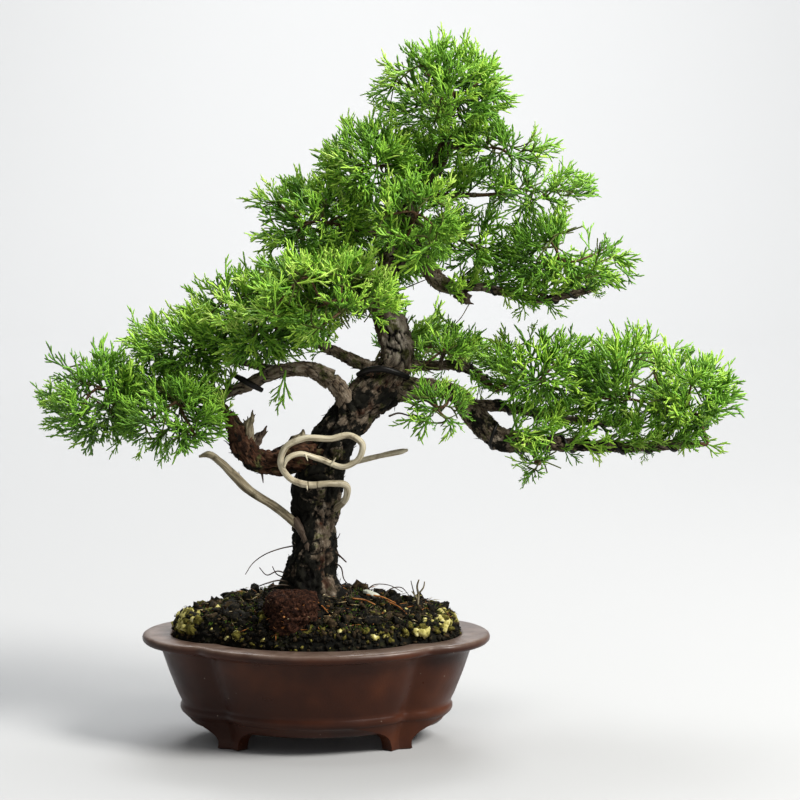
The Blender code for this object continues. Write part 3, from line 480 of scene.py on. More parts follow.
# Foot: (half size X, half size Y, height, reach along the rim on each side of its notch)
FOOT_ROWS = [
    (70.2, 49, 0, 5.9), (71, 49.7, 0.6, 6.7), (70.8, 49.5, 2.2, 6.5), (70.4, 49.2, 4.2, 6.7),
    (70.5, 49.2, 6.2, 7.6), (70.8, 49.4, 8, 9.3), (71.2, 49.7, 9.6, 11.8),
    (71.8, 50.1, 11.2, 15.4), (72.5, 50.6, 12.8, 20.2), (73.4, 51.2, 14.4, 26.5),
    (74.4, 51.8, 15.8, 34),
]
FOOT_WALL = 7.5
# Where the points of a foot lie along the rim: -1 and 1 are its ends and 0 is the notch
FOOT_SHARES = np.concatenate([-np.linspace(1.0, 0.04, 13), [0.0], np.linspace(0.04, 1.0, 13)])
SHARP_ANGLE = math.radians(42)


def strip(half_x, half_y, z, reach):
    """A stretch of the outline on both sides of the right front notch."""
    front, right = lobes(half_x, half_y)
    points = []
    for share in FOOT_SHARES:
        (x, y), radius, first, last = front if share < 0 else right
        angle = (last if share < 0 else first) + share * reach / radius
        points.append((x + radius * math.cos(angle), y + radius * math.sin(angle)))
    flat = pinch(np.array(points), half_x, half_y)
    return np.column_stack([flat, np.full(len(flat), float(z))])


pot = Bag()
pot.add(*loft([quatrefoil(*row) for row in POT_OUTSIDE + POT_INSIDE]))
foot_points, foot_faces = loft([
    np.concatenate([strip(x, y, z, reach), strip(x - FOOT_WALL, y - FOOT_WALL, z, reach)[::-1]])
    for x, y, z, reach in FOOT_ROWS])
for mirror_x in (1, -1):
    for mirror_y in (1, -1):
        turned = foot_faces if mirror_x * mirror_y > 0 else foot_faces[:, ::-1]
        pot.add(foot_points * (mirror_x, mirror_y, 1), turned)
pot_shell = pot.piece("pot_shell", [clay])
pot_shell.data.set_sharp_from_angle(angle=SHARP_ANGLE)
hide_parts("pot")

# %% [markdown]
# ## The mound of soil
#
# The mix is raised into a cone, steep at its edge, so that water runs off and the roots breathe.
# Its skin is near black with moss and old litter. The mound is a disc of rings drawn in the pot's
# own outline; each ring's height follows the cone, and noise lifts it into lumps.

# %% Soil finish
earth, tree, shader = finish("mossy_soil", (0.02, 0.018, 0.01), 0.9)
damp = ramp(tree, grain(tree, 5.0, 6.0, 0.65), [
    (0.36, (0.0012, 0.0012, 0.0009)), (0.52, (0.005, 0.005, 0.003)),
    (0.64, (0.018, 0.018, 0.006)), (0.78, (0.045, 0.038, 0.016))])
tree.links.new(damp, shader.inputs["Base Color"])
bump(tree, shader, [(grain(tree, 1.4, 5.0, 0.7), 0.5), (grain(tree, 4.0, 3.0), 0.8)])

# %% Soil mound
SOIL_EDGE = (79.2, 51.7, 56.5)
# Height of the cone at shares of the way out
SOIL_PROFILE = [(0.0, 81.0), (0.42, 80.6), (0.58, 77.5), (0.72, 74.8), (0.84, 72.4), (0.93, 69.6),
                (0.965, 67.0), (0.985, 63.5), (1.0, 59.5)]
# Lumps rise from the flat top's edge on, and everything sinks to nothing near the wall
SOIL_FLAT, LUMP_FADE, WALL_FADE = 0.42, 0.16, 20
SOIL_RINGS, INNER_RING = 110, 0.012
SOIL_SKIRT = 4.0
SOIL_LUMP, SOIL_ROUGHNESS, SOIL_NOISE = 19.0, 2.2, 1.5
CLOD_SIZE, CLOD_HEIGHT, CLOD_NOISE = 4.6, 1.7, 4.5


def soil_height(share):
    """Height of the smooth cone at a share of the way out to the pot's wall."""
    return np.interp(share, *zip(*SOIL_PROFILE))


def lumps(x, y, share):
    """How far lumps and clods lift the mound at a place, in mm."""
    lump = noise.noise((x / SOIL_LUMP, y / SOIL_LUMP, SOIL_NOISE)) * SOIL_ROUGHNESS
    lump *= min(1.0, max(0.0, (share - SOIL_FLAT) / LUMP_FADE))
    clod = noise.noise((x / CLOD_SIZE, y / CLOD_SIZE, CLOD_NOISE)) * CLOD_HEIGHT
    return (lump + clod) * min(1.0, (1.0 - share) * WALL_FADE)


outline = quatrefoil(SOIL_EDGE[0], SOIL_EDGE[1], 0.0)
rings = []
for share in np.linspace(1.0, INNER_RING, SOIL_RINGS):
    ring = outline * share
    ring[:, 2] = soil_height(share) + [lumps(x, y, share) for x, y, _ in ring]
    rings.append(ring)
foot = outline.copy()
foot[:, 2] = SOIL_EDGE[2] - SOIL_SKIRT
soil_mound = make_piece("soil_mound", *loft([foot] + rings), [earth])
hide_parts("soil")

# %% [markdown]
# ## Grains, moss and litter
#
# Up close the mound is loose stuff: black clods and crumbs, pale yellow-green pumice that rain has
# washed out towards the rim, tufts of moss, and orange needles and scraps of bark. A grain is a
# small ball whose points are pushed in and out by noise. A few dozen different grains are turned
# and scaled some thousands of times. They are scattered by a golden-angle spiral, which is even
# without being a grid, and sit half sunk in the mound. The largest pale ones lie in clusters.

# %% Grain and moss finishes


def crumbly(name, stops, size_mm, roughness=0.9, depth=0.25):
    """A rough granular finish from colour stops."""
    material, nodes, principled = finish(name, stops[len(stops) // 2][1], roughness)
    mottled = ramp(nodes, grain(nodes, size_mm, 5.0, 0.6), stops)
    nodes.links.new(mottled, principled.inputs["Base Color"])
    bump(nodes, principled, [(grain(nodes, size_mm * 0.35, 4.0, 0.7), depth)])
    return material


black_crumb = crumbly("black_crumb", [
    (0.30, (0.0006, 0.0006, 0.0005)), (0.5, (0.0034, 0.0030, 0.0019)),
    (0.72, (0.034, 0.026, 0.013))], 1.6)
brown_crumb = crumbly("brown_crumb", [
    (0.30, (0.006, 0.004, 0.002)), (0.5, (0.026, 0.017, 0.008)), (0.75, (0.100, 0.068, 0.032))], 2.0)
olive_crumb = crumbly("olive_crumb", [
    (0.30, (0.012, 0.011, 0.002)), (0.5, (0.070, 0.060, 0.010)), (0.72, (0.21, 0.185, 0.040))], 1.8)
pumice = crumbly("pumice_grain", [
    (0.28, (0.110, 0.092, 0.020)), (0.45, (0.34, 0.30, 0.085)), (0.58, (0.46, 0.410, 0.150)),
    (0.74, (0.78, 0.74, 0.45))], 2.6)
moss_green = crumbly("moss_green", [
    (0.3, (0.008, 0.022, 0.002)), (0.5, (0.035, 0.075, 0.006)), (0.75, (0.13, 0.19, 0.022))], 1.5)
moss_dark = crumbly("moss_dark", [
    (0.3, (0.0020, 0.0030, 0.0010)), (0.5, (0.0080, 0.0100, 0.0030)),
    (0.75, (0.030, 0.034, 0.010))], 1.5)
litter_rust = crumbly("litter_rust", [
    (0.3, (0.085, 0.026, 0.006)), (0.5, (0.26, 0.095, 0.022)), (0.75, (0.48, 0.23, 0.08))],
    3.0, 0.7, 0.1)
litter_straw = crumbly("litter_straw", [
    (0.3, (0.14, 0.10, 0.045)), (0.5, (0.36, 0.28, 0.14)), (0.75, (0.62, 0.53, 0.34))], 3.0, 0.7, 0.1)

# %% Scatter helpers
GOLDEN_ANGLE = math.pi * (3 - math.sqrt(5))
edge_turns = np.arctan2(outline[:, 1], outline[:, 0])
edge_reaches = np.hypot(outline[:, 0], outline[:, 1])
# No single grain is put further out than this share of the way to the wall
WALL_SHARE = 0.98


def ball(rng, subdivisions, uneven, squash):
    """A lumpy ball of radius 1, as points and triangles."""
    bm = bmesh.new()
    bmesh.ops.create_icosphere(bm, subdivisions=subdivisions, radius=1.0)
    seed = Vector((rng.uniform(0, 99), rng.uniform(0, 99), rng.uniform(0, 99)))
    for vertex in bm.verts:
        wave = noise.noise(vertex.co * 1.3 + seed) + 0.5 * noise.noise(vertex.co * 3 + seed)
        vertex.co *= 1 + uneven * (wave + 0.3 * rng.uniform(-1, 1))
    points = np.array([vertex.co for vertex in bm.verts]) * squash
    faces = np.array([[vertex.index for vertex in face.verts] for face in bm.faces])
    bm.free()
    return points, faces


def random_turn(rng):
    """A rotation with no favourite direction, as a 3 by 3 array."""
    axis = Vector(wobble(rng, 1))
    return np.array(Matrix.Rotation(rng.uniform(0, math.tau), 3, axis.normalized()))


def at_share(index, share):
    """The place on the mound at a share of the way out, on one arm of the spiral."""
    x, y, _ = outline[int(index * GOLDEN_ANGLE * len(outline) / math.tau) % len(outline)] * share
    return x, y, soil_height(share) + lumps(x, y, share)


def on_mound(x, y):
    """The place on the mound over a point of the table, kept inside the pot's wall."""
    edge = np.interp(math.atan2(y, x), edge_turns, edge_reaches, period=math.tau)
    share = math.hypot(x, y) / edge
    if share > WALL_SHARE:
        x, y, share = x * WALL_SHARE / share, y * WALL_SHARE / share, WALL_SHARE
    return x, y, soil_height(share) + lumps(x, y, share)


def scattered(rng, count, inner, outer, pack=0.5, skip=0):
    """Places spread evenly over the mound between two shares of the way out: (share, spot)."""
    for index in range(count):
        share = inner + (outer - inner) * ((index + rng.random()) / count) ** pack
        yield share, at_share(index + skip, share)


# %% Grains
CRUMBS, CLODS, EDGE_CRUMBS = 3600, 240, 900
PUMICE_GRAINS, EDGE_PUMICE = 420, 150
PUMICE_PATCH = 10.0
# How many are black, brown and olive; crumbs turn more olive where pumice lies bare
CRUMB_KINDS, CLOD_KINDS, EDGE_KINDS = (0.66, 0.27, 0.05), (0.72, 0.22, 0.06), (0.72, 0.17, 0.11)
MORE_OLIVE = 0.25
# Clusters of larger grains that rain has laid bare: middle, spread in X and Y, number and size
BARE_CLUSTERS = [
    ((-71.5, -17), (5, 10), 34, 3.5), ((-58, -11), (7, 4), 9, 2.5),
    ((-45, -43), (4, 1.5), 4, 3.1), ((59, -33), (9, 5), 9, 3.4),
    ((71, -17), (4, 7), 10, 3.3), ((17, -49), (4, 1.5), 2, 2.8),
    ((38, -46), (10, 2.5), 4, 2.4), ((-24, -46), (9, 3), 3, 2),
    ((1, -47.5), (6, 1.5), 3, 2.2), ((32, -29), (5, 3), 3, 2),
    ((70, 22), (5, 9), 12, 3), ((-66, 24), (6, 9), 12, 2.9),
    ((-20, 46), (18, 4), 10, 2.8), ((34, 44), (12, 4), 8, 3),
]
rng = random.Random(11)
crumb_shapes = [ball(rng, 1, 0.8, (1.0, 0.8, 0.6)) for _ in range(12)]
clod_shapes = [ball(rng, 2, 0.9, (1.0, 0.8, 0.5)) for _ in range(9)]
grain_shapes = [ball(rng, 2, 0.55, (1.0, 0.85, 0.66)) for _ in range(10)]


def drop(bag, shapes, rng, spot, size, number, rise):
    """Drops one grain on the mound, turned at random, its middle a share of its size above."""
    points, faces = shapes[rng.randrange(len(shapes))]
    x, y, z = spot
    bag.add(points @ random_turn(rng).T * size + (x, y, z + size * rise), faces, number)


def is_pale_place(x, y, share):
    """How likely pumice lies bare at a place: near the rim, and most to the left and right."""
    side = min(1.0, abs(x) / 70.0)
    patch = noise.noise((x / PUMICE_PATCH, y / PUMICE_PATCH, 5.0)) + 0.18 + 0.3 * side ** 4
    gathered = min(1.0, max(0.0, patch * 5))
    return gathered * max(0.0, (share - 0.62) / 0.38) ** 0.9 * (0.05 + 0.80 * side ** 2.5)


crumbs, grains = Bag(), Bag()
for share, spot in scattered(rng, CRUMBS, 0.16, 0.985):
    size = rng.uniform(0.45, 1.35) + 0.8 * (rng.random() < 0.12)
    black, brown, olive = CRUMB_KINDS
    kind = pick(rng, black, brown, olive + MORE_OLIVE * is_pale_place(*spot[:2], share))
    drop(crumbs, crumb_shapes, rng, spot, size, kind, 0.1)
for _, spot in scattered(rng, CLODS, 0.3, 0.93, skip=7):
    drop(crumbs, clod_shapes, rng, spot, rng.uniform(1.6, 4.2), pick(rng, *CLOD_KINDS), 0.12)
for index in range(EDGE_CRUMBS):
    share = rng.uniform(0.945, 1.004)
    drop(crumbs, crumb_shapes, rng, at_share(index, share), rng.uniform(0.8, 2.3),
         pick(rng, *EDGE_KINDS), 0.2)
crumb_layer = crumbs.piece("soil_crumbs", [black_crumb, brown_crumb, olive_crumb])

for share, spot in scattered(rng, PUMICE_GRAINS, 0.60, 0.975, 0.45):
    if rng.random() < is_pale_place(*spot[:2], share):
        size = 1.0 + 1.9 * rng.random() ** 1.6
        drop(grains, grain_shapes, rng, spot, size, int(rng.random() < 0.48), 0.2)
for index in range(EDGE_PUMICE):
    share = rng.uniform(0.95, 0.99)
    spot = at_share(index, share)
    if rng.random() < 0.08 + 0.62 * min(1.0, abs(spot[0]) / 72.0) ** 4:
        size = 1.1 + 1.8 * rng.random() ** 1.4
        drop(grains, grain_shapes, rng, spot, size, int(rng.random() < 0.45), 0.2)
for (x, y), (wide, deep), count, largest in BARE_CLUSTERS:
    for _ in range(count):
        spot = on_mound(x + rng.gauss(0, wide * 0.6), y + rng.gauss(0, deep * 0.6))
        size = largest * rng.uniform(0.48, 1.08)
        drop(grains, grain_shapes, rng, spot, size, int(rng.random() < 0.36), 0.25)
pumice_grains = grains.piece("pumice_grains", [pumice, olive_crumb])

# %% [markdown]
# Moss and litter are slivers. A sliver is a three-sided spike: one point at each end and a ring
# near its foot. Moss spikes stand in tufts and lean outwards from the tuft's middle. Litter lies
# flat, at any angle, a little above the grains.

# %% Moss and litter
MOSS_TUFTS, TUFT_SPIKES = 430, 15
# Middles of green patches of moss in X and Y, and how far they reach
GREEN_PATCHES = ((25.0, -48.0), (-60.0, -9.0))
PATCH_REACH = 8.0
LITTER = 900
SPIKE_WAIST = 0.3


def spike(start, end, radius):
    """A three-sided sliver from start to end, thickest near its foot."""
    start, end = Vector(start), Vector(end)
    way = (end - start).normalized()
    u = way.orthogonal().normalized()
    v = way.cross(u)
    waist = start.lerp(end, SPIKE_WAIST)
    ring = [waist + (u * math.cos(a) + v * math.sin(a)) * radius for a in (0, 2.094, 4.189)]
    points = np.array([start, *ring, end])
    return points, np.array([(0, 2, 1), (0, 3, 2), (0, 1, 3), (4, 1, 2), (4, 2, 3), (4, 3, 1)])


moss = Bag()
for _, (x, y, z) in scattered(rng, MOSS_TUFTS, 0.2, 0.97):
    patch = noise.noise((x / 15.0, y / 15.0, 9.0))
    green = patch > 0.12 or any(math.hypot(x - a, y - b) < PATCH_REACH for a, b in GREEN_PATCHES)
    kinds = (2, 5, 2) if green else (6, 1, 1)
    for _ in range(TUFT_SPIKES):
        lean = Vector((rng.gauss(0, 0.8), rng.gauss(0, 0.8), 1.0)).normalized()
        root = Vector((x + rng.gauss(0, 1.4), y + rng.gauss(0, 1.4), z - 0.4))
        moss.add(*spike(root, root + lean * rng.uniform(1.4, 3.2), 0.3), pick(rng, *kinds))
moss_tufts = moss.piece("moss_tufts", [moss_dark, moss_green, olive_crumb])

litter = Bag()
for share, (x, y, z) in scattered(rng, LITTER, 0.2, 0.96):
    turn = rng.uniform(0, math.tau)
    length = 2.0 + 7.0 * rng.random() ** 1.7
    start = Vector((x, y, z + rng.uniform(0.8, 2.3)))
    rise = rng.uniform(-0.15, 0.35) - 0.25 * (share > 0.6)
    end = start + Vector((math.cos(turn), math.sin(turn), rise)) * length
    warm = noise.noise((x / 20.0, y / 20.0, 3.0)) > -0.1
    kinds = (5, 3, 6) if warm else (1, 2, 9)
    litter.add(*spike(start, end, rng.uniform(0.16, 0.36)), pick(rng, *kinds))
needle_litter = litter.piece("needle_litter", [litter_rust, litter_straw, brown_crumb])

# %% [markdown]
# ## Fertiliser cake
#
# A cake of pressed plant meal has been set into the mound in front of the trunk. It is a squat
# drum with a worn edge that crumbles as it is watered, rust brown with fibres. It is a loft of
# rings whose radius and height noise makes uneven, with crumbs and fibres stuck in its skin.

# %% Fertiliser cake
CAKE_CENTRE = (-12.0, -35.0)
# Shares of the radius at heights
CAKE_PROFILE = [(0.90, 67.0), (0.99, 71.0), (1.02, 74.0), (1.0, 76.0), (0.91, 77.4), (0.95, 79.0),
                (0.965, 82.0), (0.93, 84.6), (0.84, 86.6), (0.60, 87.9), (0.36, 88.3), (0.04, 88.4)]
CAKE_RADIUS = 15.0
CAKE_SIDES, CAKE_RINGS = 120, 60
# The skin also crumbles upwards from the first height on, and crumbs lie on top above the second
CAKE_SHOULDER, CAKE_TOP = 83.0, 86.0
CAKE_CRUMBS, BANK_CRUMBS = 620, 150

cake_rust = crumbly("cake_rust", [
    (0.30, (0.0030, 0.0011, 0.0007)), (0.45, (0.014, 0.0048, 0.0024)),
    (0.60, (0.043, 0.0160, 0.0080)), (0.80, (0.17, 0.088, 0.050))], 1.5, 0.95, 0.8)


def cake_skin(angle, scale, z):
    """A point on the crumbling skin of the cake."""
    x, y = math.cos(angle) * scale * CAKE_RADIUS, math.sin(angle) * scale * CAKE_RADIUS
    wave = noise.noise((x / 8, y / 8, z / 8)) * 2.2 + noise.noise((x / 3, y / 3, z / 3)) * 1.5
    wave += abs(noise.noise((x / 1.4, y / 1.4, z / 1.4))) * 1.5
    pull = 1 + wave / CAKE_RADIUS
    top = max(0.0, (z - CAKE_SHOULDER) / 5.0)
    return CAKE_CENTRE[0] + x * pull, CAKE_CENTRE[1] + y * pull, z + wave * 0.7 * top


cake = Bag()
scales, heights = zip(*CAKE_PROFILE)
stations = np.linspace(0, len(CAKE_PROFILE) - 1, CAKE_RINGS)
angles = np.arange(CAKE_SIDES) * math.tau / CAKE_SIDES
rows = zip(*(np.interp(stations, range(len(scales)), values) for values in (scales, heights)))
cake.add(*loft([[cake_skin(angle, scale, z) for angle in angles] for scale, z in rows]))
for index in range(CAKE_CRUMBS):
    z = rng.uniform(70.0, 88.4)
    scale = np.interp(z, heights, scales) * (rng.random() ** 0.5 if z > CAKE_TOP else 1.0)
    spot = Vector(cake_skin(rng.uniform(0, math.tau), scale, z))
    if index % 3:
        drop(cake, crumb_shapes, rng, spot, rng.uniform(0.4, 1.1), int(rng.random() < 0.03), 0.0)
    else:
        cake.add(*spike(spot, spot + Vector(wobble(rng, 1.5)), 0.18), pick(rng, 16, 1, 1))
cake_drum = cake.piece("fertiliser_drum", [cake_rust, litter_rust, litter_straw])
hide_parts("fertiliser_cake")

bank = Bag()
for index in range(BANK_CRUMBS):
    turn = rng.uniform(0, math.tau)
    reach = CAKE_RADIUS + rng.uniform(-0.2, 4.0)
    x, y = CAKE_CENTRE[0] + math.cos(turn) * reach, CAKE_CENTRE[1] + math.sin(turn) * reach
    share = math.hypot(x / SOIL_EDGE[0], y / SOIL_EDGE[1])
    if share < 0.97:
        z = soil_height(share) + rng.uniform(0.0, 4.2) * (1 - (reach - CAKE_RADIUS) / 5.0)
        drop(bank, clod_shapes, rng, (x, y, z), rng.uniform(1.2, 2.6), pick(rng, 8, 3, 3), 0.0)
cake_bank = bank.piece("crumbs_round_the_cake", [black_crumb, brown_crumb, olive_crumb],
                       smooth=False)

# %% [markdown]
# ## The limbs' routes
#
# Each limb is a list of stations: where its middle lies and how thick it is there. They are the
# same as in the solids, because the bark has to lie where they are. A smooth curve is read
# through the stations at even steps.

# %% Limb tables
# Stations: (X, Y, Z, radius)
TRUNK = [
    (-2.3, 0, 76, 16.4), (-2.3, 0, 81.9, 16), (-2.3, 0, 91, 13.6), (-1.1, 0, 108, 12.6),
    (0.1, -1, 128, 12.4), (2.9, -2, 148, 12.4), (10.2, -3, 167, 11.9), (23, -2, 185, 12.4),
    (37.7, 0, 199, 11.6), (44.8, 2, 212, 8.8), (42.6, 4, 226, 7.9), (37.7, 6, 241, 7.4),
    (38.8, 7, 255, 6.6), (44.3, 8, 268, 5.8), (51.4, 8, 294, 4.7), (56.3, 7, 304, 4.3),
    (64.5, 6, 313, 3.7), (72.1, 4, 334, 2.2), (74.2, 3, 354, 1.1),
]
BOUGHS = {
    "left_low_bough": [
        (3.6, -3, 158.9, 8.2), (-8.4, -6, 159.3, 7.6), (-20.4, -9, 155.8, 7.3),
        (-31.2, -12, 157.3, 6.5), (-38.7, -14, 164.8, 6), (-42.4, -15, 173.1, 4.9),
        (-46.6, -16, 181.5, 3.2), (-57, -18, 190.5, 2)],
    "left_upper_base": [
        (22.3, -4, 174, 4.9), (17.5, -8, 185.5, 4.9), (14.8, -10, 194, 4.6), (8.9, -12, 201.9, 4.3)],
    "left_upper_bough": [
        (8.9, -12, 201.9, 4.3), (0.7, -13, 206.4, 4.1), (-18.9, -13, 206.4, 3.5),
        (-38.1, -11, 197.9, 3), (-56, -5, 191.2, 2.5), (-77.2, 6, 189.4, 1.9),
        (-95.3, -1, 191.3, 1.4)],
    "left_centre_bough": [
        (38.2, 0, 204.5, 3.8), (27.2, 4, 207.9, 3.3), (11.1, 10, 214.6, 2.8), (-7.5, 5, 223.9, 1.9)],
    "left_tier_bough": [
        (-18.3, -13, 206.4, 2.2), (-28.9, -8, 208.1, 1.9), (-39.7, -1, 210.1, 1.6),
        (-48.1, 3, 211.9, 1.4)],
    "left_shelf_front_bough": [(38.2, 7, 245.8, 2.7), (33.4, -6, 246.8, 2.2), (25.9, -17, 246.5, 1.9)],
    "left_shelf_back_bough": [(37.7, 6, 239.3, 2.7), (29.8, 18, 241.6, 2.2), (19.7, 28, 243.1, 1.9)],
    "left_mid_bough": [
        (47.6, 8, 278.7, 2.5), (38.2, 8, 278.7, 2.2), (27.8, 8, 280.9, 1.9), (19, 8, 283.1, 1.6)],
    "left_high_bough": [(64, 6, 312.7, 2.2), (54.7, 2, 314, 1.6), (46.5, -2, 316.2, 1.4)],
    "front_centre_bough": [(49.8, 8, 288, 2.2), (50.8, -4, 288.4, 1.6), (52.4, -13, 288.8, 1.4)],
    "right_low_bough": [
        (41, 0, 195.6, 5.6), (54.7, -4, 195.5, 5.3), (68.3, -8, 196, 4.9), (78.1, -11, 192.5, 5),
        (85.7, -13, 183.9, 6), (93.4, -14, 175.2, 6), (102.6, -15, 168.8, 6),
        (113, -15, 167.8, 5.4), (125.5, -16, 167.2, 4), (141.8, -17, 166.3, 3.1),
        (174.3, -19, 165.4, 2.7), (209.4, -21, 167.3, 1.5)],
    "right_low_parallel": [
        (83.5, -12.5, 187.5, 2.7), (98.5, -5, 186.3, 2.7), (109.7, -1, 183.9, 2.5),
        (137.4, 2, 178.2, 2.2), (162.4, 4, 175.2, 1.6)],
    "pale_upper_limb": [
        (46.5, 2, 207.6, 2.7), (60.2, 4, 207.6, 2.7), (82.8, 3, 206.6, 2.7), (90.4, 0, 202, 2.6),
        (95, -2, 198, 2.4)],
    "right_mid_bough": [
        (46.5, 8, 282, 3.8), (53.1, 5, 274, 3.8), (60.2, 1, 264.3, 3.8), (68.3, -3, 254.2, 4.1),
        (76.5, -5, 251.1, 3.8), (84.6, -6, 252.2, 2.7), (104.7, -8, 249.1, 2.2),
        (123.7, -10, 244.9, 2.2), (137.9, -10, 247.6, 1.9), (153.6, -10, 251.4, 1.4)],
    "right_mid_riser": [(123.2, -10, 245.4, 1.2), (124.8, -9, 250.3, 1.1), (126.5, -8, 255.1, 1)],
    "right_mid_inner_bough": [(50.5, 8, 290.5, 2.2), (60.2, 6, 284.5, 1.7), (69.5, 4, 279, 1.4)],
    "right_low_inner_riser": [(68.5, 4, 207.4, 1.4), (69.5, 0, 212.2, 1.2), (70.6, -4, 216.5, 1.1)],
    "front_tuft_twig": [(73.8, -9, 195, 1.6), (73.1, -17, 192.6, 1.4), (71.9, -23, 190.5, 1.1)],
    "hanging_twig": [(116.3, -15, 167.7, 1.4), (118.5, -20.8, 163.6, 1.2), (119.8, -23, 160.4, 1.1)],
    "right_upper_bough": [(53.1, 7, 298.5, 1.7), (66.2, 4, 300.8, 1.5), (88, 0, 301.5, 1.3)],
    "right_high_bough": [(71.6, 4, 328, 1.4), (78, 0, 327.6, 1.2), (84.5, -4, 327.7, 1.1)],
    "back_low_bough": [
        (43.2, 4, 222.9, 3.3), (46.5, 24, 221, 2.8), (51, 44, 218.1, 2.3), (54.4, 56, 215.9, 2)],
    "back_mid_bough": [(41, 8, 262.2, 2.7), (38.7, 24, 263.4, 2.2), (36.4, 42, 264.6, 1.7)],
    "back_high_bough": [(60.2, 7, 308.4, 1.9), (63.6, 18, 312.4, 1.4), (66.5, 28, 315.4, 1.1)],
}
DEAD_WOOD = {
    "dead_branch_left": [
        (3, -1, 108, 2.6), (-1.5, -2, 112.5, 2.5), (-8.5, -7, 119.3, 2.3), (-22, -12, 131.5, 2.4),
        (-37, -15, 142, 2.5), (-44.5, -16, 149.8, 2.4), (-51.5, -17, 157, 2.1), (-58, -18, 161.2, 1.8),
        (-63, -18, 160, 1.4)],
    "dead_stub_right": [
        (7.9, 0, 151.8, 1.9), (18.8, 3, 153.6, 1.6), (35.4, 5, 157.3, 1.5), (50.9, 6, 160.5, 1.6)],
    "left_stub_front": [(-37.6, -13, 168.5, 3.3), (-35.8, -15, 175.9, 2.4), (-33.5, -17, 185.5, 1.1)],
    "left_stub_back": [(-36.7, -11, 162.9, 2.7), (-31, -7, 168.9, 2.2), (-26.5, -4, 175.2, 1.4)],
    "left_base_stub": [(-11.4, -7, 160, 3.8), (-8.6, -6, 167.4, 3.2), (-6.4, -5.4, 173.4, 2.2)],
    "right_mid_stub": [(77.6, -5, 250, 3.3), (81.3, -11, 246.6, 3), (84.4, -15, 244.2, 2.7)],
    "dead_loop": [
        (7.9, -4, 127.3, 2.5), (17.2, -14, 137.5, 2), (16.8, -19, 144.5, 1.9), (9.4, -20, 145.5, 1.8),
        (-3.6, -20, 144.7, 1.8), (-14, -20, 148.9, 1.8), (-18.5, -20, 157.3, 1.8),
        (-15.8, -21, 165.3, 1.8), (-5.9, -22, 170.4, 1.8), (9, -22.5, 170.4, 1.8),
        (19.9, -23, 172.1, 1.7), (26, -24, 167.5, 1.7), (24.2, -23.5, 159.8, 1.6),
        (17.4, -22.5, 155.3, 1.6), (1.8, -22, 159.6, 1.6), (-8.5, -24, 162.3, 1.5),
        (-15.1, -25.5, 159.1, 1.3), (-16.4, -26, 155, 1.2)],
}


def smooth(rows, step):
    """Reads a smooth curve through rows of (x, y, z, radius) at about equal steps."""
    rows = np.array(rows, dtype=float)
    lengths = np.linalg.norm(np.diff(rows[:, :3], axis=0), axis=1)
    knots = np.concatenate(([0.0], np.cumsum(lengths)))
    slopes = np.gradient(rows, knots, axis=0)
    spots = np.linspace(0.0, knots[-1], max(3, round(knots[-1] / step) + 1))
    i = np.minimum(np.searchsorted(knots, spots, side="right") - 1, len(rows) - 2)
    h = (knots[i + 1] - knots[i])[:, None]
    t = ((spots - knots[i])[:, None]) / h
    return (rows[i] * (1 + 2 * t) * (1 - t) ** 2 + slopes[i] * h * t * (1 - t) ** 2
            + rows[i + 1] * t * t * (3 - 2 * t) + slopes[i + 1] * h * t * t * (t - 1))


limbs = {"trunk": TRUNK[1:], **BOUGHS, **DEAD_WOOD}
routes = {name: smooth(rows, 1.0) for name, rows in limbs.items()}
print(len(routes), "limbs,", round(sum(len(r) for r in routes.values())), "stations")

# %% [markdown]
# ## Skinning a limb
#
# A limb's skin is a ring of points carried along its route. The ring must not spin as the route
# bends, so each ring's zero direction is the last one's, laid flat on the new ring. Relief is
# added by changing the radius point by point. Each point also remembers where it lies round and
# along the limb, so that the bark's streaks can follow it.

# %% Sweep
# No limb points this way, so it can start any limb's rings
FIRST_ACROSS = (0.31, -0.87, 0.38)


def sweep(points, sides, relief=None):
    """Skins a route. Returns points, triangles, places along the limb and groove depths."""
    centre, radius = points[:, :3], points[:, 3]
    way = unit_rows(np.gradient(centre, axis=0))
    across = np.cross(way[0], FIRST_ACROSS)
    level = []
    for direction in way:
        across = unit(across - direction * across.dot(direction))
        level.append(across)
    level = np.array(level)
    upright = np.cross(way, level)
    angles = np.arange(sides) * math.tau / sides
    ring = (np.cos(angles)[None, :, None] * level[:, None, :]
            + np.sin(angles)[None, :, None] * upright[:, None, :])
    along = np.concatenate(([0.0], np.cumsum(np.linalg.norm(np.diff(centre, axis=0), axis=1))))
    shape = (len(centre), sides)
    places = np.stack([np.cos(angles)[None, :] * radius[:, None],
                       np.sin(angles)[None, :] * radius[:, None],
                       np.broadcast_to(along[:, None], shape)], axis=2)
    height, groove = np.zeros(shape), np.zeros(shape)
    if relief:
        plain = centre[:, None, :] + ring * radius[:, None, None]
        for i in range(len(centre)):
            for j in range(sides):
                height[i, j], groove[i, j] = relief(places[i, j], plain[i, j], radius[i], angles[j])
    skin = centre[:, None, :] + ring * (radius[:, None] + height)[..., None]
    points, faces = loft(skin, (centre[0], centre[-1]))
    places = np.concatenate([places.reshape(-1, 3), [(0, 0, along[0])], [(0, 0, along[-1])]])
    groove = np.concatenate([groove.ravel(), [0.5, 0.5]])
    return points, faces, places * MM, groove


# %% [markdown]
# ## Bark
#
# Old juniper bark is soft and flaky. It lifts in long plates that run with the limb, grey-brown on
# their faces, fox red where they have just come off, and dark in between. The trunk under it is
# knobbly. The relief is built of knobs, of plates whose edges drop where a stretched noise crosses
# zero, and of fine flakes. The gaps' depth is stored on the points, and the finish reads it, so that
# what is deep is painted dark: painted shade in the gaps. So is how damp the bark is: black low on
# the trunk, and grey where a dry plate lies bare.

# %% Bark finish
# Painted shade: the colour that the gaps between the plates are darkened to
PAINTED_GAP_SHADE = (0.0028, 0.0022, 0.0016, 1.0)
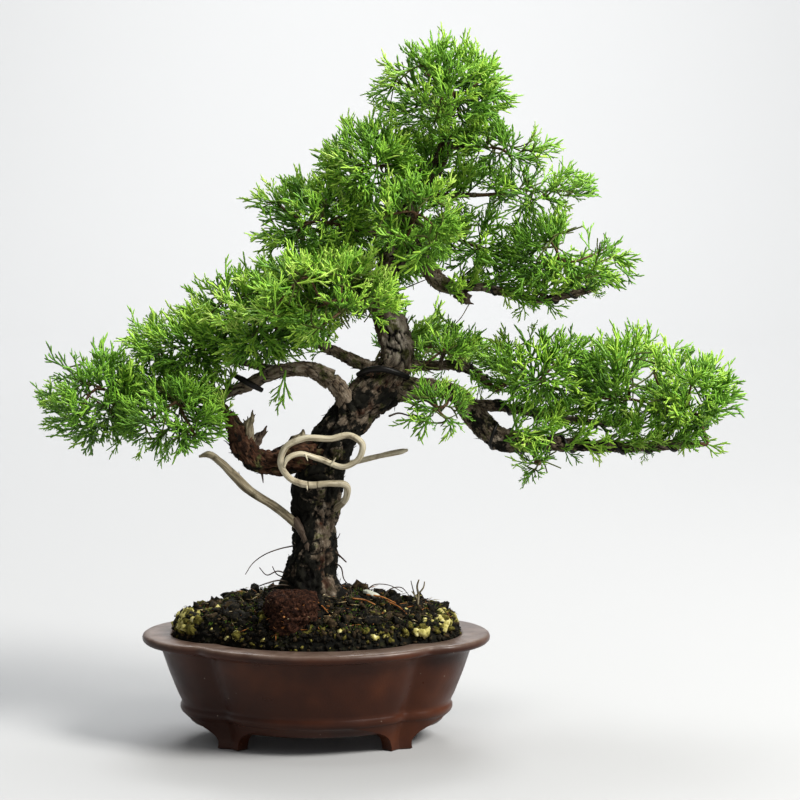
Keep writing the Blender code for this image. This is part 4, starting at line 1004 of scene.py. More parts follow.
# Keeps the patches of damp from falling where the patches of fox red do
DAMP_OFFSET = (0.31, 0.12, 0.57)


def bark_finish(name, face_stops, fox_share, black_share):
    """Flaky bark: plates, patches of fresh fox red, patches of black damp and gaps darkened with
    painted shade.
    """
    material, tree, shader = finish(name, face_stops[1][1], 0.88)
    gap = add(tree, "Attribute", attribute_name="groove").outputs["Fac"]
    strip_place = add(tree, "Attribute", attribute_name="along").outputs["Vector"]
    streaks = grain(tree, 3.0, 7.0, 0.68, at=strip_place, stretch=(1.0, 1.0, 0.28))
    face = ramp(tree, streaks, face_stops)
    fox = ramp(tree, streaks, [
        (0.30, (0.008, 0.0035, 0.002)), (0.52, (0.045, 0.018, 0.009)), (0.75, (0.13, 0.062, 0.034))])
    fox_patch = fit(tree, grain(tree, 13.0, 4.0, 0.6), fox_share, fox_share + 0.10)
    face = blend(tree, fox_patch, face, fox)
    wet = add(tree, "Attribute", attribute_name="wet").outputs["Fac"]
    bare = ramp(tree, streaks, [
        (0.30, (0.060, 0.048, 0.036)), (0.50, (0.22, 0.190, 0.150)), (0.72, (0.44, 0.400, 0.330))])
    face = blend(tree, fit(tree, wet, -1.5, -0.8, 0.8, 0.0), face, bare)
    olive = ramp(tree, streaks, [
        (0.35, (0.010, 0.010, 0.003)), (0.52, (0.050, 0.050, 0.016)), (0.72, (0.15, 0.145, 0.062))])
    algae = add(tree, "Math", {0: grain(tree, 8.0, 4.0, 0.6), 1: fit(tree, wet, -1, 1, 0.06, 0.10)},
                operation="ADD").outputs[0]
    face = blend(tree, fit(tree, algae, 0.63, 0.71), face, olive)
    black = ramp(tree, streaks, [(0.35, (0.0012, 0.0012, 0.0009)), (0.7, (0.012, 0.011, 0.007))])
    damp_place = add(tree, "VectorMath", {0: place_of(tree), 1: DAMP_OFFSET}, operation="ADD")
    damp_patch = grain(tree, 12.0, 6.0, 0.66, at=damp_place.outputs[0])
    damp = add(tree, "Math", {0: damp_patch, 1: fit(tree, wet, -1, 1, -0.16, 0.13)},
               operation="ADD").outputs[0]
    damp = fit(tree, damp, black_share, black_share + 0.05)
    face = blend(tree, damp, face, black)
    # Painted shade: the deeper a gap, the darker it is painted
    face = blend(tree, fit(tree, gap, 0.25, 0.85), face, PAINTED_GAP_SHADE)
    tree.links.new(face, shader.inputs["Base Color"])
    bump(tree, shader, [(streaks, 1.0), (grain(tree, 0.9, 4.0, 0.7), 0.35)])
    return material


bark_old = bark_finish("bark_old", [
    (0.30, (0.010, 0.0070, 0.0045)), (0.43, (0.052, 0.037, 0.024)), (0.55, (0.135, 0.105, 0.075)),
    (0.72, (0.31, 0.265, 0.205))], 0.55, 0.54)
bark_young = bark_finish("bark_young", [
    (0.30, (0.014, 0.009, 0.005)), (0.43, (0.066, 0.047, 0.030)), (0.55, (0.165, 0.130, 0.092)),
    (0.72, (0.33, 0.285, 0.225))], 0.60, 0.58)
bark_red = bark_finish("bark_red", [
    (0.30, (0.004, 0.0016, 0.0008)), (0.43, (0.018, 0.0075, 0.0038)), (0.55, (0.060, 0.027, 0.014)),
    (0.74, (0.16, 0.095, 0.060))], 0.50, 0.60)

# %% Relief of the bark
FLARE_TOP = 104.0
FLARE_LOBES = 5
FLARE_DEPTH = 0.22
# Knobs: size, and height as a share of the radius
KNOBS = ((17.0, 0.24), (9.0, 0.10))


def bark_relief(width, depth):
    """Relief for bark plates of a width, with gaps of a depth."""
    def relief(place, spot, radius, angle):
        x, y, s = place
        knob = sum(noise.noise(spot / size) * share for size, share in KNOBS) * radius
        sway = noise.noise(spot / (width * 3.0)) * 1.6
        stretched = Vector((x / width + sway, y / width - sway, s / (width * 2.6)))
        cell = noise.noise(stretched)
        second = noise.noise(stretched * 2.3 + Vector((7.0, 3.0, 1.0)))
        groove = max(0.0, 1 - abs(cell) / 0.12) * 0.9 + 0.6 * max(0.0, 1 - abs(second) / 0.14)
        groove = min(groove, 1.0)
        plate = (min(abs(cell) * 2.2, 0.75) + 0.5 * abs(second)) * 1.2 * depth
        flake = noise.noise(Vector((x / 0.9, y / 0.9, s / 2.0))) * 0.5 * depth
        low = max(0.0, (FLARE_TOP - spot[2]) / (FLARE_TOP - TRUNK[1][2]))
        lobe = 0.5 + 0.5 * math.sin(FLARE_LOBES * angle)
        swell = FLARE_DEPTH * min(low, 1.0) ** 2 * lobe * radius
        return knob + plate + flake + swell - groove * depth * 0.9 - 0.35 * depth, groove
    return relief


# %% Trunk and boughs
WET_BELOW, DRY_ABOVE = 192.0, 210.0
# Places where a dry plate lies bare in the damp bark: its middle and how wide it is
DRY_PLATES = [((5.5, -14, 114), 5.5), ((8, -14, 97), 5), ((13, 2, 132), 4),
              ((-2, 12, 120), 8), ((12, 8, 100), 6), ((46, -6, 224), 12),
              ((30, -12, 178), 5)]
# How damp the boughs are: -0.5 where nothing is given
BOUGH_DAMP = {"right_low_bough": 0.5, "right_mid_bough": 0.2, "left_low_bough": 0.1,
              "right_low_parallel": 0.3}
BARK_STEP = 0.9
TRUNK_SIDES = 120


def wetness(points):
    """How damp and black the bark is: 1 low on the trunk, 0 high up and on the dry plates."""
    points = np.asarray(points)
    wet = np.clip((DRY_ABOVE - points[:, 2]) / (DRY_ABOVE - WET_BELOW), 0.0, 1.0)
    for middle, wide in DRY_PLATES:
        away = (points - middle) / (wide, wide, wide * 1.9)
        wet -= 1.7 * np.exp(-(away ** 2).sum(axis=1))
    return wet


trunk_skin = Bag()
points, faces, along, groove = sweep(smooth(TRUNK, BARK_STEP), TRUNK_SIDES, bark_relief(5.6, 1.35))
trunk_skin.add(points, faces, along=along, groove=groove, wet=wetness(points))
bark_trunk = trunk_skin.piece("bark_trunk", [bark_old])
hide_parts("trunk")

bough_skin = Bag()
for name, rows in BOUGHS.items():
    route = smooth(rows, BARK_STEP)
    thick = rows[0][3]
    reach = np.arange(len(route)) * BARK_STEP
    route[:, 3] *= 1 + 0.30 * np.exp(-(reach / (2.2 * thick)) ** 2)
    sides = int(min(60, max(14, route[:, 3].max() * 9)))
    plates = 1.3 + route[:, 3].max() * 0.26
    points, faces, along, groove = sweep(route, sides, bark_relief(plates, 0.11 * thick + 0.12))
    bough_skin.add(points, faces, int(name == "left_low_bough"), along=along, groove=groove,
                   wet=np.full(len(points), BOUGH_DAMP.get(name, -0.5)))
bark_boughs = bough_skin.piece("bark_boughs", [bark_young, bark_red])
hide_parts(*BOUGHS)

# %% [markdown]
# ## Loose flakes
#
# Strips of old bark stand off the trunk and the low boughs, and give them a ragged outline. A
# flake is a thin bent sliver, rooted in the bark and lifted at its free end. Flakes are scattered
# along the limbs and point up or down with the grain.

# %% Bark flakes
FLAKES_PER_MM = {"trunk": 1.9, "left_low_bough": 1.3, "right_low_bough": 0.55, "left_upper_base": 0.8,
                 "left_upper_bough": 0.35, "right_mid_bough": 0.5, "left_centre_bough": 0.5}


def flake(root, along, out, length, width, lift):
    """A thin strip of bark that peels off: four stations, two wide, bent outwards."""
    across = along.cross(out).normalized()
    rows = []
    for k, (share, wide) in enumerate(((0.0, 0.7), (0.4, 1.0), (0.75, 0.8), (1.0, 0.25))):
        middle = root + along * length * share + out * (lift * length * share * share)
        for side in (-1, 1):
            rows.append(middle + across * (side * wide * width / 2))
        rows.append(middle - out * (0.35 if k < 3 else 0.05))
    faces = []
    for k in range(3):
        for a, b in ((0, 1), (1, 2), (2, 0)):
            low, high = k * 3, k * 3 + 3
            faces += [(low + a, low + b, high + b), (low + a, high + b, high + a)]
    faces += [(0, 2, 1), (9, 10, 11)]
    return np.array(rows), np.array(faces)


rng = random.Random(31)
flakes = Bag()
for name, rate in FLAKES_PER_MM.items():
    route = routes[name]
    for _ in range(int(rate * len(route))):
        k = rng.randrange(2, len(route) - 8)
        spot, radius = Vector(route[k, :3]), route[k, 3]
        along = Vector(route[k + 1, :3] - route[k - 1, :3]).normalized() * rng.choice((-1, 1))
        out = Vector(wobble(rng, 1))
        out = (out - along * out.dot(along)).normalized()
        if name == "trunk" and spot.z > 250 and rng.random() < 0.6:
            continue
        knob = sum(noise.noise((spot + out * radius) / size) * share for size, share in KNOBS)
        root = spot + out * radius * (0.99 + knob)
        length = rng.uniform(1.6, 5.2) * min(1.0, 0.35 + radius / 9)
        points, faces = flake(root, (along + out * 0.1).normalized(), out, length,
                              length * rng.uniform(0.25, 0.55), rng.uniform(0.08, 0.5))
        # A third of the flakes, at random, get a groove value and so take on the painted gap shade
        values = {"along": points * MM, "groove": np.full(len(points), rng.choice((0.0, 0.0, 0.6))),
                  "wet": wetness(points)}
        kind = 2 if name == "left_low_bough" else int(name != "trunk")
        flakes.add(points, faces, kind, **values)
bark_flakes = flakes.piece("bark_flakes", [bark_old, bark_young, bark_red], smooth=False)

# %% [markdown]
# ## Dead wood
#
# Dead branches have been stripped of their bark and left to bleach, and one of them is wound into
# a loop in front of the trunk. Bare juniper wood is bone grey, smooth, with fine cracks that run
# along it and warmer stains where it is damp. Other stubs are torn and brown, some with their bark
# still on. One finish is made three times, from pale to brown, and each piece gets the one it has
# in life. Relief is gentle on the pale ones and ragged on the stubs.

# %% Dead wood finishes


def dead_finish(name, fibre_stops, stain_stops, stain_share):
    """Bare wood: long fibres, damp stains and cracks darkened with painted shade."""
    material, tree, shader = finish(name, fibre_stops[1][1], 0.62)
    strip_place = add(tree, "Attribute", attribute_name="along").outputs["Vector"]
    fibres = grain(tree, 1.0, 5.0, 0.6, at=strip_place, stretch=(1.0, 1.0, 0.08))
    pale = ramp(tree, fibres, fibre_stops)
    stained = ramp(tree, fibres, stain_stops)
    stains = fit(tree, grain(tree, 9.0, 4.0, 0.65), stain_share, stain_share + 0.14)
    pale = blend(tree, stains, pale, stained)
    gap = add(tree, "Attribute", attribute_name="groove").outputs["Fac"]
    # Painted shade: the cracks are darkened by their depth
    pale = blend(tree, fit(tree, gap, 0.3, 1.0, 0.0, 0.8), pale, (0.045, 0.030, 0.018, 1.0))
    tree.links.new(pale, shader.inputs["Base Color"])
    bump(tree, shader, [(fibres, 0.2), (grain(tree, 1.2, 3.0, 0.6), 0.12)])
    return material


bleached = dead_finish("bleached_wood", [
    (0.28, (0.17, 0.13, 0.08)), (0.45, (0.40, 0.345, 0.235)), (0.65, (0.56, 0.51, 0.38)),
    (0.85, (0.70, 0.66, 0.54))],
    [(0.3, (0.085, 0.062, 0.036)), (0.55, (0.22, 0.175, 0.11)), (0.8, (0.38, 0.33, 0.23))], 0.56)
weathered = dead_finish("weathered_wood", [
    (0.28, (0.060, 0.046, 0.027)), (0.45, (0.160, 0.130, 0.080)), (0.65, (0.29, 0.25, 0.165)),
    (0.85, (0.45, 0.41, 0.30))],
    [(0.3, (0.018, 0.014, 0.008)), (0.55, (0.060, 0.050, 0.026)), (0.8, (0.15, 0.125, 0.075))], 0.50)
torn = dead_finish("torn_wood", [
    (0.28, (0.014, 0.009, 0.006)), (0.45, (0.050, 0.034, 0.023)), (0.65, (0.115, 0.086, 0.062)),
    (0.85, (0.22, 0.18, 0.14))],
    [(0.3, (0.006, 0.004, 0.003)), (0.55, (0.024, 0.014, 0.009)), (0.8, (0.060, 0.036, 0.022))], 0.48)
# Which finish each has, and which are broken off raggedly: torn where nothing is given
DEAD_KINDS = {"dead_loop": 0, "dead_branch_left": 1, "dead_stub_right": 0, "left_stub_front": 1,
              "left_base_stub": 1, "tail": 2}
RAGGED = ("left_stub_front", "left_stub_back", "left_base_stub", "right_mid_stub")
# The left branch's bleached tail, which lies on the trunk's face below where it leaves it
TAIL = [(-11.5, -9, 124.5, 2.1), (-8.2, -10.6, 119, 2.3), (-5.6, -11.3, 113.5, 2.2),
        (-4, -11.5, 107, 1.7), (-3.2, -11, 101, 1.1)]
# Darker rings on the loop, in X and Z
JOINT_MARKS = ((-3.5, 144.7), (1.6, 144.9))
DEAD_STEP = 0.7

# %% Dead wood


def bone_relief(ragged):
    """Slight knots and cracks on stripped wood, or the torn ridges of a stub."""
    def relief(place, spot, radius, angle):
        x, y, s = place
        lump = noise.noise(spot / (9.0 - 5.0 * ragged)) * (0.16 + 0.3 * ragged) * radius
        ridge = noise.noise(Vector((x / 1.1, y / 1.1, s / 9.0))) * (0.06 + 0.9 * ragged) * radius
        crack = noise.noise(Vector((x / 1.3, y / 1.3, s / 22.0)))
        groove = max(0.0, 1 - abs(crack) / 0.07) * 0.7
        return lump + ridge - groove * 0.10 * radius, groove
    return relief


def pointed(route, length, tip):
    """Draws a limb's last stretch out to a broken point."""
    left = np.arange(len(route))[::-1] * DEAD_STEP
    route = route.copy()
    route[:, 3] *= np.clip(tip + (1 - tip) * left / length, tip, 1.0)
    return route


dead = Bag()
for name, rows in [*DEAD_WOOD.items(), ("tail", TAIL)]:
    kind = DEAD_KINDS.get(name, 2)
    route = smooth(rows, DEAD_STEP)
    route = pointed(route, 6.0, 0.2) if name in RAGGED else pointed(route, 5.0, 0.45)
    if name == "dead_stub_right":
        left = np.arange(len(route))[::-1] * DEAD_STEP
        route[:, 3] *= 1 + 0.22 * np.exp(-((left - 2.5) / 1.6) ** 2)
    points, faces, along, groove = sweep(route, 32, bone_relief(float(name in RAGGED)))
    numbers = np.full(len(faces), kind)
    if name == "dead_loop":
        middles = points[faces].mean(axis=1)
        late = np.linalg.norm(middles - np.array(rows[0][:3]), axis=1) < 13.0
        numbers[late] = 1
        for x, z in JOINT_MARKS:
            numbers[(np.abs(middles[:, 0] - x) < 0.4) & (np.abs(middles[:, 2] - z) < 3.0)] = 1
    dead.add(points, faces, numbers, along=along, groove=groove)

# Thorns on the loop and splinters on the stubs: (x, y, z), direction, length, radius, finish
THORNS = [
    ((9.4, -24, 157), (0.55, -0.25, 0.8), 4.2, 0.75, 0),
    ((-4.4, -24.6, 161.3), (0.3, -0.5, -0.8), 3.2, 0.7, 0),
    ((-16.8, -21, 163), (-0.9, -0.2, 0.35), 2.2, 0.8, 0),
    ((-4, -22.2, 144), (0.1, -0.3, -0.9), 2, 0.7, 0),
    ((-40.5, -14.9, 146.2), (-0.2, -0.1, 1), 5.5, 0.7, 2),
    ((-29, -12, 150.5), (0.1, 0, -1), 6, 0.9, 2),
    ((-35, -15.5, 179), (0.55, -0.1, 0.8), 5, 0.9, 2),
    ((-36.5, -14.5, 176), (-0.5, -0.2, 0.9), 5, 1, 1),
    ((-36, -14, 175), (-0.1, 0.4, 0.9), 7, 1.1, 2),
    ((-31, -8, 168), (0.2, -0.1, 0.9), 4.5, 1.3, 2),
    ((-28.5, -6, 170.5), (0.7, -0.2, 0.6), 3.5, 1, 1),
    ((-34.5, -13.5, 166.5), (0.6, -0.3, 0.9), 4, 1.4, 1),
    ((-7.5, -6, 168.5), (0.4, 0, 1), 3.5, 1.5, 1),
    ((-10.5, -7, 166), (-0.5, -0.2, 0.9), 3.5, 1.5, 2),
    ((83, -14, 244), (0.8, -0.4, -0.2), 4, 1.2, 2),
    ((80.5, -9, 246), (-0.2, -0.5, -0.9), 4, 1.1, 2),
]
for spot, way, length, radius, kind in THORNS:
    spot, way = np.array(spot), unit(np.array(way))
    rows = [(*(spot + way * length * t), radius * (1 - 0.8 * t)) for t in (-0.25, 0.3, 0.7, 1.0)]
    points, faces, along, groove = sweep(smooth(rows, 0.5), 10, bone_relief(0.5))
    dead.add(points, faces, kind, along=along, groove=groove)
dead_branches = dead.piece("bleached_branches", [bleached, weathered, torn])
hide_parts(*DEAD_WOOD)

# %% [markdown]
# ## Training wire
#
# Boughs are bent to shape with soft anodised aluminium wire, wound round them in an even coil at
# about forty-five degrees. The wire is near black with a low sheen. A coil is worked out from the
# limb's own route, so that it lies on the bark. The thick band over the trunk and the short bar on
# the left bough cross only what faces the viewer, so they are given point by point.

# %% Training wire
wire_black, tree, shader = finish("wire_black", (0.005, 0.004, 0.0035), 0.45, 0.3)
shader.inputs["Metallic"].default_value = 0.3
bump(tree, shader, [(grain(tree, 2.0, 2.0), 0.05)])
# Coils: limb, share where it starts and ends, number of turns, first angle, wire radius in mm
COILS = [
    ("right_low_bough", 0.36, 0.93, 7.5, 0.4, 0.95),
    ("right_low_parallel", 0.10, 0.95, 4.5, 2, 0.85),
    ("right_mid_bough", 0.52, 0.96, 5, 1, 0.75),
    ("left_upper_bough", 0.66, 0.98, 3.5, 0, 0.75),
    ("pale_upper_limb", 0.55, 0.95, 2, 0.6, 0.75),
]
# Thick wires given point by point: (X, Y, Z, radius)
BAND = [(23.5, -7.5, 203.6, 1.5), (27.5, -11, 206.2, 1.7), (36.5, -13.6, 207.6, 1.8),
        (44.5, -12, 205.4, 1.7), (51, -7, 202.2, 1.5)]
BAR = [(-43.5, -11, 203.6, 1.3), (-39, -14.4, 201.7, 1.7), (-33.5, -15.6, 198.7, 1.7),
       (-28.5, -13.6, 195.8, 1.3)]
WIRE_SIDES = 10
POINTS_PER_TURN = 26
wires = Bag()
for limb, first, last, turns, phase, radius in COILS:
    route = routes[limb]
    t = np.linspace(first, last, int(turns * POINTS_PER_TURN) + 8)
    k = t * (len(route) - 1)
    spots = np.stack([np.interp(k, range(len(route)), route[:, c]) for c in range(4)], axis=1)
    way = unit_rows(np.gradient(spots[:, :3], axis=0))
    level = unit_rows(np.cross(way, (0.0, 1.0, 0.0)))
    upright = np.cross(way, level)
    turn = (phase + math.tau * turns * (t - first) / (last - first))[:, None]
    out = (np.cos(turn) * level + np.sin(turn) * upright) * (spots[:, 3:] + radius * 0.75)
    coil = np.column_stack([spots[:, :3] + out, np.full(len(spots), radius)])
    wires.add(*sweep(coil, WIRE_SIDES)[:2])
for rows in (BAND, BAR):
    wires.add(*sweep(smooth(rows, 0.8), WIRE_SIDES)[:2])
training_wire = wires.piece("training_wire", [wire_black])

# %% [markdown]
# ## Hair roots and dead twigs
#
# Fine dead twigs and hair roots stand off the trunk's foot and the mound: a long hair to the left,
# short roots over the moss, a dry twig by the rim and a chip of pale stone. Each is a thin swept
# curve through a few chosen points.

# %% Hair roots
# Each has its finish, its radius at the start and its points
FINE_TWIGS = [
    ("torn", 0.42, [(-12, -4, 108.5), (-20, -9, 107.5), (-28, -12, 104.8), (-34.5, -13, 100),
                    (-38.5, -13, 94)]),
    ("torn", 0.45, [(-15, -4, 92), (-21, -8, 95), (-27, -9, 93), (-31, -8, 97)]),
    ("torn", 0.55, [(-14, -6, 88), (-20, -9, 90), (-26, -11, 89), (-32, -12, 87)]),
    ("torn", 0.40, [(-16, -3, 90), (-22, -4, 93), (-24, -4, 97)]),
    ("torn", 0.50, [(-12, -8, 86), (-19, -12, 88), (-26, -15, 86.5)]),
    ("torn", 0.65, [(9, -6, 107), (13, -9, 104), (17, -11, 100.5)]),
    ("torn", 0.45, [(9, -5, 100), (14, -8, 97), (15.5, -9, 91), (19, -10, 86), (20, -10, 81)]),
    ("torn", 0.35, [(8, -4, 112), (12, -6, 113), (13.5, -7, 116)]),
    ("torn", 0.35, [(26, -10, 82), (32, -12, 88), (40, -12, 88), (48, -12, 84)]),
    ("torn", 0.40, [(36, -14, 80), (42, -14, 86.5), (47, -14, 87), (52, -15, 82)]),
    ("torn", 0.40, [(56, -10, 78), (54, -10, 84), (52.5, -10, 90)]),
    ("weathered", 0.75, [(56, -12, 76), (56.6, -12, 82), (56.0, -12, 88), (57.0, -12, 91)]),
    ("weathered", 0.55, [(56.6, -12, 83), (59.5, -12.5, 87), (60.0, -12.5, 90)]),
    ("weathered", 0.45, [(56.2, -12, 80), (53.0, -12, 84.5)]),
    ("rust", 0.55, [(-2, -30, 84), (2, -33, 82), (6, -36, 79), (9, -38, 75)]),
    ("rust", 0.50, [(20, -20, 82), (27, -22, 81.5), (33, -25, 79.5)]),
    ("rust", 0.60, [(28, -14, 83), (36, -15, 82), (44, -18, 79)]),
    ("rust", 0.50, [(40, -20, 80), (46, -24, 78), (50, -28, 75)]),
    ("torn", 0.60, [(40.5, -12, 181.5), (46, -15, 183.5), (51, -17, 182.5), (56, -18, 181.5)]),
    ("torn", 0.90, [(53, -17.5, 183), (56, -18.5, 181.6), (59, -19, 183.2)]),
    ("weathered", 0.30, [(84, -14, 243), (79, -16, 235), (73, -15, 229), (69, -14, 222),
                         (68, -13, 214)]),
    ("weathered", 0.40, [(44, 6, 248), (53, 2, 252), (62, -2, 256)]),
]
hairs = Bag()
kinds = {"torn": 0, "weathered": 1, "rust": 2}
for kind, radius, spots in FINE_TWIGS:
    rows = [(*spot, radius * (1 - 0.6 * k / len(spots))) for k, spot in enumerate(spots)]
    points, faces, along, groove = sweep(smooth(rows, 1.0), 7)
    hairs.add(points, faces, kinds[kind], along=along, groove=groove)
hair_roots = hairs.piece("hair_roots", [torn, weathered, litter_rust])

CHIP_SIZE, CHIP_TILT, CHIP_PLACE = 5.0, 0.35, (31.0, -12.0, 83.0)
chip_stone = crumbly("pale_chip", [
    (0.3, (0.24, 0.25, 0.20)), (0.5, (0.42, 0.43, 0.36)), (0.75, (0.62, 0.63, 0.55))], 3.0, 0.8, 0.2)
chip_points, chip_faces = ball(random.Random(5), 3, 0.25, (1.0, 0.55, 0.30))
tilt = np.array(Matrix.Rotation(CHIP_TILT, 3, "Y")).T
chip = Bag()
chip.add(chip_points * CHIP_SIZE @ tilt + CHIP_PLACE, chip_faces)
white_chip = chip.piece("pale_chip", [chip_stone])

# %% [markdown]
# ## Foliage masses
#
# A grower wires a juniper's foliage into pads, and each pad hangs on one twig of the tree. In the
# solids a pad is one stem with a few twigs and large toothed blades. Here the same rule goes on to
# finer twigs: a stem leaves the bough's tip and bends towards the pad's middle, twig tips are
# spread through the pad's outer part by the golden angle, and each is joined to the nearest node
# that is already there. A second round does the same with thinner twigs, and these carry sprays.

# %% Mass table
# Masses of foliage: name, the limb whose tip carries it, its middle and its three half sizes
MASSES = [
    ("apex", "trunk", (69, 2, 357), (39, 33, 28)),
    ("right_high", "right_high_bough", (103, -8, 327), (28, 26, 15)),
    ("right_upper", "right_upper_bough", (120, -4, 304), (34, 28, 15)),
    ("left_high", "left_high_bough", (30, -4, 318), (28, 32, 24)),
    ("left_mid", "left_mid_bough", (0, 6, 288), (35, 38, 23)),
    ("front_centre", "front_centre_bough", (54, -31, 288), (25, 23, 27)),
    ("shelf_front", "left_shelf_front_bough", (8, -38, 247), (42, 38, 26)),
    ("shelf_outer", "left_centre_bough", (-35, -3, 233), (37, 40, 28)),
    ("shelf_back", "left_shelf_back_bough", (3, 46, 247), (40, 34, 25)),
    ("left_tier", "left_tier_bough", (-70, 3, 219), (35, 36, 19)),
    ("far_left_outer", "left_upper_bough", (-120, -10, 191), (30, 38, 28)),
    ("far_left_inner", "left_low_bough", (-77, -29, 184), (29, 29, 24)),
    ("right_mid_outer", "right_mid_riser", (135, -8, 269), (40, 38, 23)),
    ("right_mid_inner", "right_mid_inner_bough", (86, 2, 276), (24, 34, 20)),
    ("right_low_inner", "right_low_inner_riser", (71, -12, 215), (23, 28, 17)),
    ("right_low_front", "front_tuft_twig", (68, -31, 188), (20, 20, 15)),
    ("right_low_middle", "pale_upper_limb", (123, -4, 207), (34, 40, 22)),
    ("right_low_outer", "right_low_parallel", (173, -4, 199), (34, 46, 29)),
    ("right_low_tip", "right_low_bough", (206, -18, 192), (25, 36, 27)),
    ("hanging_tuft", "hanging_twig", (121, -25, 158), (15, 17, 13)),
    ("back_low", "back_low_bough", (58, 80, 207), (44, 38, 17)),
    ("back_mid", "back_mid_bough", (34, 66, 266), (40, 32, 24)),
    ("back_high", "back_high_bough", (68, 40, 318), (28, 22, 19)),
]
limb_field = np.concatenate(list(routes.values()))
# Only limbs this near are looked at
NEAR = 45


def shell(points, centre, radii):
    """How far out points lie in a pad's space: 0 at its middle, 1 on its surface."""
    return np.linalg.norm((np.asarray(points) - centre) / radii, axis=-1)


def clear_of_limbs(points, room):
    """Tells whether points lie clear of every limb."""
    near = limb_field[(np.abs(limb_field[:, :3] - points.mean(0)) < NEAR).all(axis=1)]
    if not len(near):
        return True
    away = np.linalg.norm(points[:, None, :] - near[None, :, :3], axis=2) - near[None, :, 3]
    return away.min() > room


# %% [markdown]
# ## One spray
#
# A juniper's green is in its shoots: each is a cord over a millimetre thick, clad in scale leaves
# and forked like coral or an antler. A spray has a straight main cord, cords to all sides at a
# narrow angle, and a short fork or two on those. A cord is three-sided, keeps its thickness nearly
# to its end and is blunt there. A dozen different sprays, turned and scaled, are enough for no two
# places to look alike. The ends are the youngest growth and have a material of their own.

# %% Spray shapes
SPRAY_KINDS = 14
SPRAY_LENGTH = 21.0
CORD_RADIUS = 0.76
# Where the rings of a long, a middling and a short cord lie
MAIN, ARM, FORK = (0.0, 0.48, 0.93), (0.0, 0.90), (0.0, 0.80)
CORD_TWIST, CORD_TAPER = 0.5, 0.22
ARM_ANGLES, FORK_ANGLES, END_ANGLE = (0.32, 0.66), (0.38, 0.68), 0.45
FORK_LENGTHS, END_LENGTHS = (4.6, 8.2), (3.8, 6.2)
FORK_SHARES = (0.40, 0.66)
# An arm longer than this has two forks, and arms beyond this share count as young growth
LONG_ARM, YOUNG_FROM = 8.5, 0.70
UP = np.array((0.0, 0.0, 1.0))
FIRST_SIDE = (0.21, 0.34, 0.92)


def point_on(start, heading, length, lift, t):
    """A place along a cord that bends upwards."""
    return start + heading * length * t + UP * lift * length * t * t


def cord(start, heading, length, radius, lift, shares):
    """A blunt three-sided cord that bends upwards, with rings at shares of its length."""
    angles = np.arange(3) * math.tau / 3
    heading = unit(heading)
    u = unit(np.cross(heading, FIRST_SIDE))
    v = np.cross(heading, u)
    points = []
    for k, t in enumerate(shares):
        turned = angles + k * CORD_TWIST
        ring = np.cos(turned)[:, None] * u + np.sin(turned)[:, None] * v
        thick = radius * (1 - CORD_TAPER * t)
        points += list(point_on(start, heading, length, lift, t) + ring * thick)
    points.append(point_on(start, heading, length, lift, 1.0))
    rings = len(shares)
    last = (rings - 1) * 3
    blunt = [(last + j, last + (j + 1) % 3, rings * 3) for j in range(3)]
    return np.array(points), np.array(list(ring_faces(rings, 3)) + blunt)


def onward(heading, lift, t):
    """A cord's direction at a share of its length."""
    return unit(heading + UP * lift * 2 * t)


def aside(heading, roll, angle):
    """A direction at an angle to a heading, on the side that the roll gives."""
    level = unit(np.cross(UP, heading))
    side = level * math.cos(roll) + np.cross(heading, level) * math.sin(roll)
    return heading * math.cos(angle) + side * math.sin(angle)


def make_spray(rng):
    """A forked spray along +X. Triangles of its ends are marked 1."""
    spray = Bag()
    lift = rng.uniform(0.0, 0.14)
    origin = np.zeros(3)
    forward = aside(np.array((1.0, 0.0, 0.0)), rng.uniform(0, 6.28), 0.10)
    length = SPRAY_LENGTH * rng.uniform(0.85, 1.12)
    spray.add(*cord(origin, forward, length, CORD_RADIUS, lift, MAIN), 0)
    arms = rng.randint(4, 5)
    for k in range(arms):
        t = 0.10 + 0.82 * k / arms + rng.uniform(-0.05, 0.05)
        root = point_on(origin, forward, length, lift, t)
        roll = k * 2.4 + rng.gauss(0.0, 0.5)
        heading = aside(onward(forward, lift, t), roll, rng.uniform(*ARM_ANGLES))
        arm = length * (0.74 - 0.34 * t) * rng.uniform(0.76, 1.25)
        rise = rng.uniform(-0.04, 0.16)
        young = int(t > YOUNG_FROM)
        spray.add(*cord(root, heading, arm, CORD_RADIUS * 0.97, rise, ARM), young)
        for fork in range(2 if arm > LONG_ARM else 1):
            share = FORK_SHARES[fork] + rng.uniform(-0.06, 0.06)
            spot = point_on(root, heading, arm, rise, share)
            turn = roll + fork * 2.6 + rng.gauss(0, 0.7)
            bent = aside(onward(heading, rise, share), turn, rng.uniform(*FORK_ANGLES))
            length_here = rng.uniform(*FORK_LENGTHS)
            spray.add(*cord(spot, bent, length_here, CORD_RADIUS * 0.92, 0.06, FORK), 1)
    for roll in (0.0, 2.2):
        share = rng.uniform(0.76, 0.90)
        spot = point_on(origin, forward, length, lift, share)
        bent = aside(onward(forward, lift, share), roll + rng.gauss(0, 0.5), END_ANGLE)
        length_here = rng.uniform(*END_LENGTHS)
        spray.add(*cord(spot, bent, length_here, CORD_RADIUS * 0.92, 0.05, FORK), 1)
    return spray.joined()


rng = random.Random(21)
sprays = [make_spray(rng) for _ in range(SPRAY_KINDS)]
print("triangles in a spray:", [len(spray[1]) for spray in sprays])

# %% [markdown]
# ## Green
#
# The pads are not one green. Sprays inside and underneath a pad are painted deep green, as painted
# shade, and the outer and higher ones fresh green and paler, as painted light. The growing ends are
# one or two steps paler, yellow-green at the palest. Each spray is dealt a body and an end from a
# small set of plain colours, by how far out and how high it sits in its pad. Fine bumps stand for the
# scale leaves.

# %% Green finishes
GREEN_ROUGHNESS, GREEN_SHINE = 0.46, 0.28


